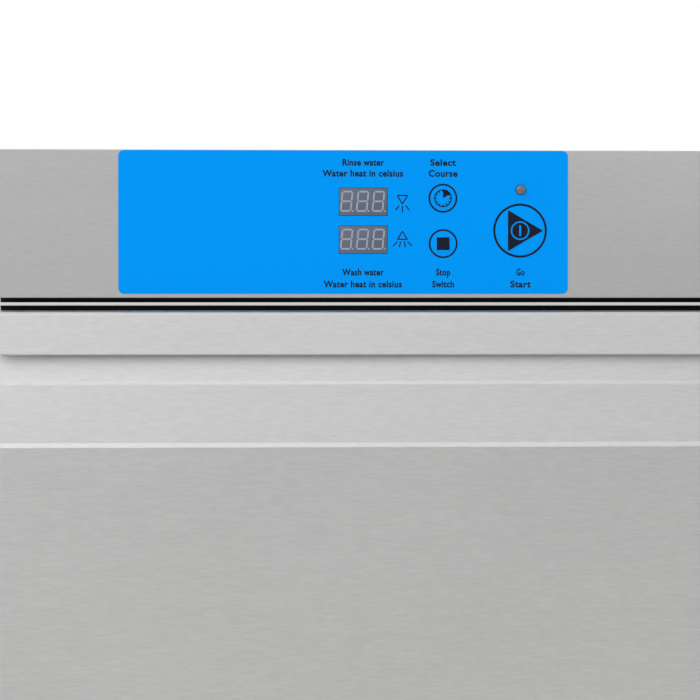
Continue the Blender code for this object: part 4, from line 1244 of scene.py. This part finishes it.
def dish_rack():
    """A moulded crockery rack: a lattice floor with rows of pegs and four windowed walls."""
    node = "dish_rack"
    low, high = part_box(node)
    wall, bar, cells, edge, inset = 0.0040, 0.0038, 12, 0.0005, 0.004
    rim_height, base_height, grip_cells = 0.0150, 0.0060, 1.6
    pitch = (high.x - low.x - 2 * wall) / cells
    parts = []
    inner = rectangle((low.x + wall, low.y + wall), (high.x - wall, high.y - wall), 0.010, 5)
    outer = rectangle((low.x, low.y), (high.x, high.y), 0.014, 5)
    for bottom, top in ((low.z, low.z + base_height * 2), (high.z - rim_height, high.z)):
        band = prism("band", outer, bottom, top, "Z", 0.0008, 2)
        parts.append(carved(band, prism("band_hole", inner, bottom - 0.01, top + 0.01, "Z")))
    lattice_edge, end, step = 0.0006, 0.002, 0.0004
    floor_top = low.z + base_height
    for k in range(1, cells):
        x, y = low.x + wall + k * pitch, low.y + wall + k * pitch
        parts.append(block("bar", (x - bar / 2, low.y + end, low.z), (x + bar / 2, high.y - end, floor_top),
                           lattice_edge, 2))
        parts.append(block("bar", (low.x + end, y - bar / 2, low.z + step),
                           (high.x - end, y + bar / 2, floor_top - step), lattice_edge, 2))
    long, short, top = 0.0045 / 2, wall / 2 - 0.0002, high.z - inset
    sides_x, sides_y = (low.x + wall / 2, high.x - wall / 2), (low.y + wall / 2, high.y - wall / 2)
    for k in range(cells + 1):
        if abs(k - cells / 2) < grip_cells:
            continue
        x = min(max(low.x + wall + k * pitch, low.x + inset), high.x - inset)
        y = min(max(low.y + wall + k * pitch, low.y + inset), high.y - inset)
        spots = [(x, side, long, short) for side in sides_y] + [(side, y, short, long) for side in sides_x]
        for spot_x, spot_y, half_x, half_y in spots:
            parts.append(block("post", (spot_x - half_x, spot_y - half_y, floor_top),
                               (spot_x + half_x, spot_y + half_y, top), edge, 2))
    band_z, band_height, corner, thin = low.z + 0.052, 0.006, 0.003, wall / 2 - 0.0003
    for y in sides_y:
        parts.append(block("mid_band", (low.x + corner, y - thin, band_z),
                           (high.x - corner, y + thin, band_z + band_height), edge, 2))
    for x in sides_x:
        parts.append(block("mid_band", (x - thin, low.y + corner, band_z),
                           (x + thin, high.y - corner, band_z + band_height), edge, 2))
    peg_height, peg = 0.060, 0.0042
    profile = [(0, peg_height), (peg * 0.30, peg_height - 0.0006), (peg * 0.45, peg_height - 0.002),
               (peg, 0.002), (peg, 0), (0, 0)]
    places = [(low.x + wall + i * pitch, low.y + wall + j * pitch, floor_top - 0.002)
              for i in range(2, cells - 1, 2) for j in range(1, cells)]
    parts.append(copies("pegs", lathe("peg", profile, (0, 0, 0), "Z", 12), places))
    dress(gathered("crockery_rack", parts), "rack_plastic", body_of(node), [node])


# Spray arms


def spray_arm(node, blade_width, angle, nozzles, up):
    """A flat hollow arm with a domed hub and a row of slotted nozzles on its spraying side."""
    low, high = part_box(node)
    middle = (low + high) / 2
    hub, bore, reach = (0.0256 if blade_width > 0.02 else 0.0158), 0.0083, 0.2276
    thick = (high.z - low.z)
    blade_low, blade_high = middle.z - thick * 0.39, middle.z + thick * 0.39
    outline = rectangle((-reach, -blade_width / 2), (reach, blade_width / 2), blade_width * 0.48, 10)
    blade = prism("blade", outline, blade_low, blade_high, "Z", thick * 0.22, 4)
    profile = [
        (bore, high.z), (hub * 0.72, high.z), (hub * 0.92, high.z - thick * 0.16),
        (hub, high.z - thick * 0.40), (hub, low.z + thick * 0.40), (hub * 0.92, low.z + thick * 0.16),
        (hub * 0.72, low.z), (bore, low.z)
    ]
    turned_hub = lathe("hub", profile, (0, 0, 0), "Z", 56)
    carved(
        blade,
        lathe(
            "hub_room",
            [(0, high.z + 0.01), (hub * 0.8, high.z + 0.01), (hub * 0.8, low.z - 0.01), (0, low.z - 0.01)],
            (0, 0, 0), "Z", 48
        )
    )
    face = blade_high if up else blade_low
    sign = 1 if up else -1
    nozzle_radius = blade_width * 0.20
    ring_profile = [
        (nozzle_radius * 0.5, 0), (nozzle_radius * 0.55, 0.0008 * sign), (nozzle_radius * 0.8, 0.0010 * sign),
        (nozzle_radius, 0.0002 * sign), (nozzle_radius, -0.0006 * sign), (nozzle_radius * 0.5, -0.0006 * sign)
    ]
    places = []
    for k in range(nozzles):
        across = (hub + 0.012) + k * (reach - hub - 0.026) / (nozzles - 1)
        offset = blade_width * 0.16 * (1 if k % 2 else -1)
        places += [(across, offset, face), (-across, -offset, face)]
    rings = copies("nozzles", lathe("nozzle", ring_profile, (0, 0, 0), "Z", 20), places)
    ends = []
    for side in (-1, 1):
        ends.append(
            block(
                "end_cap", (side * (reach - 0.006) - 0.0012, -blade_width * 0.36, blade_low - 0.0003),
                (side * (reach - 0.006) + 0.0012, blade_width * 0.36, blade_high + 0.0003), 0.0003, 2
            )
        )
    arm = gathered(node + "_formed", [blade, turned_hub, rings] + ends)
    arm.data.transform(
        Matrix.Translation((middle.x, middle.y, 0)) @ Matrix.Rotation(math.radians(angle), 4, "Z")
    )
    dress(arm, "machined", body_of(node), [node])


def spray_arms():
    wash_width, rinse_width, parked = 0.036, 0.014, 35
    for level, up in (("lower", True), ("upper", False)):
        spray_arm(level + "_wash_arm", wash_width, 0, 8, up)
        spray_arm(level + "_rinse_arm", rinse_width, parked, 10, up)


def spindle_nuts():
    """Knurled hand nuts that hold each pair of arms on its spindle."""
    for level in ("lower", "upper"):
        low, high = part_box(level + "_spindle")
        middle = (low + high) / 2
        bottom, top = (high.z - 0.0070, high.z) if level == "lower" else (low.z, low.z + 0.0070)
        radius, count = 0.0131, 20
        ridge = block(
            "ridge", (radius - 0.0006, -0.0007, bottom + 0.0004), (radius + 0.0008, 0.0007, top - 0.0004),
            0.0003, 2
        )
        turns = [Euler((0, 0, 2 * math.pi * k / count)) for k in range(count)]
        ridges = copies(level + "_nut_grip", ridge, [(middle.x, middle.y, 0)] * count, turns)
        dress(ridges, "machined", body_of(level + "_spindle"))


# Services


def pump_housing():
    """The motor with cooling fins, bolted to the volute."""
    node = "wash_pump_housing"
    low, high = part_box(node)
    middle = (low + high) / 2
    motor, volute, neck = 0.0440, 0.0450, 0.030
    rear, neck_rear, neck_front, front = high.y, 0.035, 0.030, low.y
    shell = [
        (0.020, rear), (motor - 0.006, rear), (motor - 0.001, rear - 0.004), (motor, rear - 0.012),
        (motor, neck_rear + 0.006), (motor - 0.003, neck_rear), (neck, neck_rear), (neck, neck_front),
        (volute - 0.004, neck_front), (volute, neck_front - 0.004), (volute, front + 0.006),
        (volute - 0.006, front), (0.016, front), (0.016, front + 0.0025), (volute - 0.008, front + 0.0025),
        (volute - 0.0025, front + 0.008), (volute - 0.0025, neck_front - 0.0025),
        (0.010, neck_front - 0.0025), (0.010, neck_rear + 0.0025), (motor - 0.0025, neck_rear + 0.0025),
        (motor - 0.0025, rear - 0.0025), (0.020, rear - 0.0025)
    ]
    body = lathe("motor_shell", shell, (middle.x, 0, middle.z), "Y", 64)
    fin = block(
        "fin", (motor - 0.001, neck_rear + 0.012, -0.0007), (motor + 0.0038, rear - 0.020, 0.0007), 0.0004, 2
    )
    count = 30
    turns = [Euler((0, 2 * math.pi * k / count, 0)) for k in range(count)]
    fins = copies("fins", fin, [(middle.x, 0, middle.z)] * count, turns)
    bolt = lathe("bolt", [(0, 0.0345), (0.0032, 0.0345), (0.0032, 0.0300), (0, 0.0300)], (0, 0, 0), "Y", 6)
    bolt_places = [
        (middle.x + 0.038 * math.cos(math.pi * k / 3), 0, middle.z + 0.038 * math.sin(math.pi * k / 3))
        for k in range(6)
    ]
    bolts = copies("bolts", bolt, bolt_places)
    dress(gathered("pump_motor", [body, fins, bolts]), "motor_paint", body_of(node), [node])


def boiler():
    """A pressed vessel with a rolled seam and two straps."""
    node = "rinse_boiler"
    low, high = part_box(node)
    middle = (low + high) / 2
    shell = (high.x - low.x) / 2 - 0.0008
    rear, front, mouth, wall = high.y, low.y, 0.040, 0.0015
    dome = [
        (shell * math.sin(a), rear - 0.019 * (1 - math.cos(a)))
        for a in [math.pi / 2 * k / 12 for k in range(13)]
    ]
    profile = dome + [
        (shell, front + 0.004), (shell - 0.003, front + 0.0006), (mouth, front), (mouth, front + wall)
    ]
    profile += [(shell - 0.004, front + wall), (shell - wall, front + 0.005)]
    profile += [(r * (shell - wall) / shell, h - wall) for r, h in reversed(dome)]
    vessel = lathe("vessel", profile, (middle.x, 0, middle.z), "Y", 64)
    straps = []
    for y in (-0.11, 0.07):
        band = [
            (shell, y - 0.007), (shell + 0.0008, y - 0.0066), (shell + 0.0008, y + 0.0066), (shell, y + 0.007)
        ]
        straps.append(lathe("strap", band, (middle.x, 0, middle.z), "Y", 64))
    dress(gathered("boiler_vessel", [vessel] + straps), "machined", replaces=[node])


def hose_clamps():
    """Worm-drive clamps round the ends of the hoses."""
    pump, riser = centre_of("wash_pump_housing"), centre_of("overflow_standpipe")
    clamps = []
    spots = [
        ((riser.x, riser.y, 0.135), 0.0130, "Z"), ((pump.x, -0.040, pump.z), 0.0146, "Y"),
        ((0.100, 0.285, 0.094), 0.0131, "Y"), ((0.0600, 0.278, 0.300), 0.0111, "Z"),
        ((-0.100, 0.278, 0.300), 0.0076, "Z")
    ]
    for place, radius, axis in spots:
        band = [(radius, -0.0045), (radius + 0.0007, -0.0045), (radius + 0.0007, 0.0045), (radius, 0.0045)]
        level, seat = "XYZ".index(axis), list(place)
        seat[level] = 0
        ring_piece = lathe("clamp_band", [(r, h + place[level]) for r, h in band], seat, axis, 48)
        x = place[0] + radius + 0.0026
        housing = block(
            "clamp_worm", (x - 0.0026, place[1] - 0.0045, place[2] - 0.0045),
            (x + 0.0022, place[1] + 0.0045, place[2] + 0.0045), 0.0012, 3
        )
        clamps += [ring_piece, housing]
    dress(gathered("hose_clamps", clamps), "machined")


def electronics():
    """Small parts on the control board, and the lid and screws of the terminal box."""
    low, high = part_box("control_board")
    back, margin, rng = low.y + 0.0016, 0.008, random.Random(7)
    chips, chip_half, chip_depth = 26, (0.0016, 0.0009), 0.0011
    parts = []
    for _ in range(chips):
        x, z = rng.uniform(low.x + margin, high.x - margin), rng.choice((0.7505, 0.7955, 0.8015, 0.8150))
        parts.append(block("chip", (x - chip_half[0], back - 0.0002, z - chip_half[1]),
                           (x + chip_half[0], back + chip_depth, z + chip_half[1]), 0.0002, 1))
    can, can_radius, can_top, can_row = 0.0085, 0.0028, 0.0024, 0.768
    profile = [(0, back + can), (can_top, back + can), (can_radius, back + can - 0.0005), (can_radius, back),
               (0, back)]
    for x in (0.062, 0.068, 0.108, 0.116):
        parts.append(lathe("capacitor", profile, (x, 0, can_row), "Y", 24))
    dress(gathered("board_parts", parts), "black_plastic")
    low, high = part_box("terminal_box")
    edge, lip, lid_depth, seam = 0.003, 0.0006, 0.0094, 0.010
    body = block("terminal_box_body", (low.x, low.y + seam, low.z), (high.x, high.y, high.z), edge, 4)
    lid = block("lid", (low.x + lip, low.y, low.z + lip), (high.x - lip, low.y + lid_depth, high.z - lip),
                edge, 4)
    places = [(x, low.y + 0.0004, z) for x in (low.x + margin, high.x - margin)
              for z in (low.z + margin, high.z - margin)]
    heads = copies("lid_screws", pan_head(0.0032, 0.0016), places, [Euler((math.radians(90), 0, 0))] * 4)
    dress(gathered("junction_box", [body, lid]), "grey_plastic", replaces=["terminal_box"])
    dress(heads, "machined")


def inlet_and_gland():
    """Threads on the water inlet, and the domed nut of the cable gland."""
    low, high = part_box("water_inlet_valve")
    x, z, radius = (low.x + high.x) / 2, 0.105, 0.0128
    profile = [(0.0092, high.y)]
    y = high.y - 0.0004
    while y > 0.2995:
        profile += [
            (radius - 0.0008, y), (radius, y - 0.0006), (radius, y - 0.0009), (radius - 0.0008, y - 0.0016)
        ]
        y -= 0.0018
    profile.append((0.0092, 0.2983))
    thread = lathe("inlet_thread", profile, (x, 0, z), "Y", 48)
    dress(thread, "white_plastic")
    low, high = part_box("cable_gland")
    middle = (low + high) / 2
    dome = [(0.0072, high.y), (0.0100, high.y), (0.0122, high.y - 0.0020), (0.0126, high.y - 0.0050),
            (0.0126, 0.3000), (0.0072, 0.3000)]
    dress(lathe("gland_dome", dome, (middle.x, 0, middle.z), "Y", 48), "black_plastic")


# Studio


def studio():
    scene = bpy.context.scene
    scene.view_settings.view_transform = "Standard"
    world = bpy.data.worlds.new("studio")
    scene.world = world
    world.use_nodes = True
    tree = world.node_tree
    tree.nodes.clear()
    place = add(tree, "ShaderNodeTexCoord")
    parts = add(tree, "ShaderNodeSeparateXYZ")
    tree.links.new(place.outputs["Generated"], parts.inputs[0])
    ramp = add(tree, "ShaderNodeValToRGB")
    ramp.color_ramp.elements.remove(ramp.color_ramp.elements[1])
    brightest = 1.40
    for position, value in (
        (0.0, 0.45), (0.40, 0.60), (0.47, 0.80), (0.51, 0.88), (0.58, 1.08), (0.70, 1.40), (0.80, 1.20),
        (0.90, 0.95)
    ):
        stop = ramp.color_ramp.elements.new(position)
        stop.color = (value / brightest,) * 3 + (1,)
    height = add(tree, "ShaderNodeMapRange")
    height.inputs["From Min"].default_value = -1
    tree.links.new(parts.outputs["Z"], height.inputs["Value"])
    tree.links.new(height.outputs["Result"], ramp.inputs[0])
    sideways = add(tree, "ShaderNodeMapRange")
    for socket, value in (("From Min", -0.25), ("From Max", 0.40), ("To Min", 1.15), ("To Max", 0.68)):
        sideways.inputs[socket].default_value = value
    tree.links.new(parts.outputs["X"], sideways.inputs["Value"])
    strength = add(tree, "ShaderNodeMath", operation="MULTIPLY")
    strength.inputs[1].default_value = brightest
    tree.links.new(sideways.outputs["Result"], strength.inputs[0])
    soft = add(tree, "ShaderNodeBackground")
    tree.links.new(strength.outputs[0], soft.inputs["Strength"])
    tree.links.new(ramp.outputs[0], soft.inputs["Color"])
    plain = add(tree, "ShaderNodeBackground", Strength=1.0)
    plain.inputs["Color"].default_value = (1, 1, 1, 1)
    seen = add(tree, "ShaderNodeLightPath")
    mix = add(tree, "ShaderNodeMixShader")
    tree.links.new(seen.outputs["Is Camera Ray"], mix.inputs[0])
    tree.links.new(soft.outputs[0], mix.inputs[1])
    tree.links.new(plain.outputs[0], mix.inputs[2])
    output = add(tree, "ShaderNodeOutputWorld")
    tree.links.new(mix.outputs[0], output.inputs[0])
    for name, place, size, power in (
        ("key", (-2.2, -2.6, 2.6), 1.8, 28), ("fill", (2.6, -1.8, 1.8), 1.6, 5),
        ("top", (0.0, 0.4, 3.2), 2.4, 12), ("rear", (0.8, 3.2, 2.2), 2.0, 16),
    ):
        light = bpy.data.lights.new(name, "AREA")
        light.energy = power
        light.size = size
        lamp = bpy.data.objects.new(name, light)
        lamp.location = place
        lamp.rotation_euler = (Vector((0, 0, 0.45)) - lamp.location).to_track_quat("-Z", "Y").to_euler()
        scene.collection.objects.link(lamp)


def floor():
    size = 14.0

    def build(bm):
        bmesh.ops.create_grid(bm, x_segments=1, y_segments=1, size=size / 2)

    plane = mesh_object("floor", build)
    plane.location = (0, 0, -0.0002)
    material, tree, shader = new_material("floor", (0.66, 0.66, 0.65), 0.60)
    in_patches(tree, shader, (0.665, 0.665, 0.655), (0.65, 0.65, 0.64), 2.0)
    plane.data.materials.append(material)


def camera():
    """A long lens, nearly square on, level with the top of the door."""
    aim, distance, left, height, width = Vector((-0.0273, -0.300, 0.6942)), 3.0, 4.0, 0.735, 0.5436
    turn = math.radians(left)
    place = Vector((aim.x - distance * math.sin(turn), aim.y - distance * math.cos(turn), height))
    data = bpy.data.cameras.new("camera")
    data.sensor_width = 36.0
    data.lens = data.sensor_width * distance / width
    data.clip_start, data.clip_end = 0.05, 60
    obj = bpy.data.objects.new("camera", data)
    obj.location = place
    obj.rotation_euler = (aim - place).to_track_quat("-Z", "Y").to_euler()
    bpy.context.scene.collection.objects.link(obj)
    bpy.context.scene.camera = obj


camera()
studio()
floor()
control_fascia()
control_overlay()
icons()
labels()
displays()
keys()
status_lamp()
shadow_gap_strips()
drip_rail()
sheet_panels()
top_shell()
screws()
feet()
door_outer_skin()
door_inner_liner()
door_gasket()
hinge_pins()
door_springs()
wash_chamber()
tank_heater()
tank_filters()
overflow_standpipe()
dish_rack()
spray_arms()
spindle_nuts()
pump_housing()
boiler()
hose_clamps()
electronics()
inlet_and_gland()

KEPT_NODES = {
    "rear_steel": ["rear_panel", "base_tray"],
    "chamber_steel": ["front_frame", "wash_tank", "rack_rail_left", "rack_rail_right"],
    "machined": [
        "hinge_arm_left", "hinge_arm_right", "hinge_bracket_left", "hinge_bracket_right", "lower_spindle",
        "upper_spindle", "wash_pump_rotor",
    ],
    "rubber": ["suction_hose", "wash_riser", "rinse_hose"],
    "grey_plastic": ["drain_pipe"],
    "white_plastic": ["water_inlet_valve", "door_switch"],
    "black_plastic": ["cable_gland", "door_magnet"],
    "brass": ["boiler_heater"],
    "board": ["control_board"],
}
for finish, names in KEPT_NODES.items():
    for name in names:
        dress_node(name, finish)
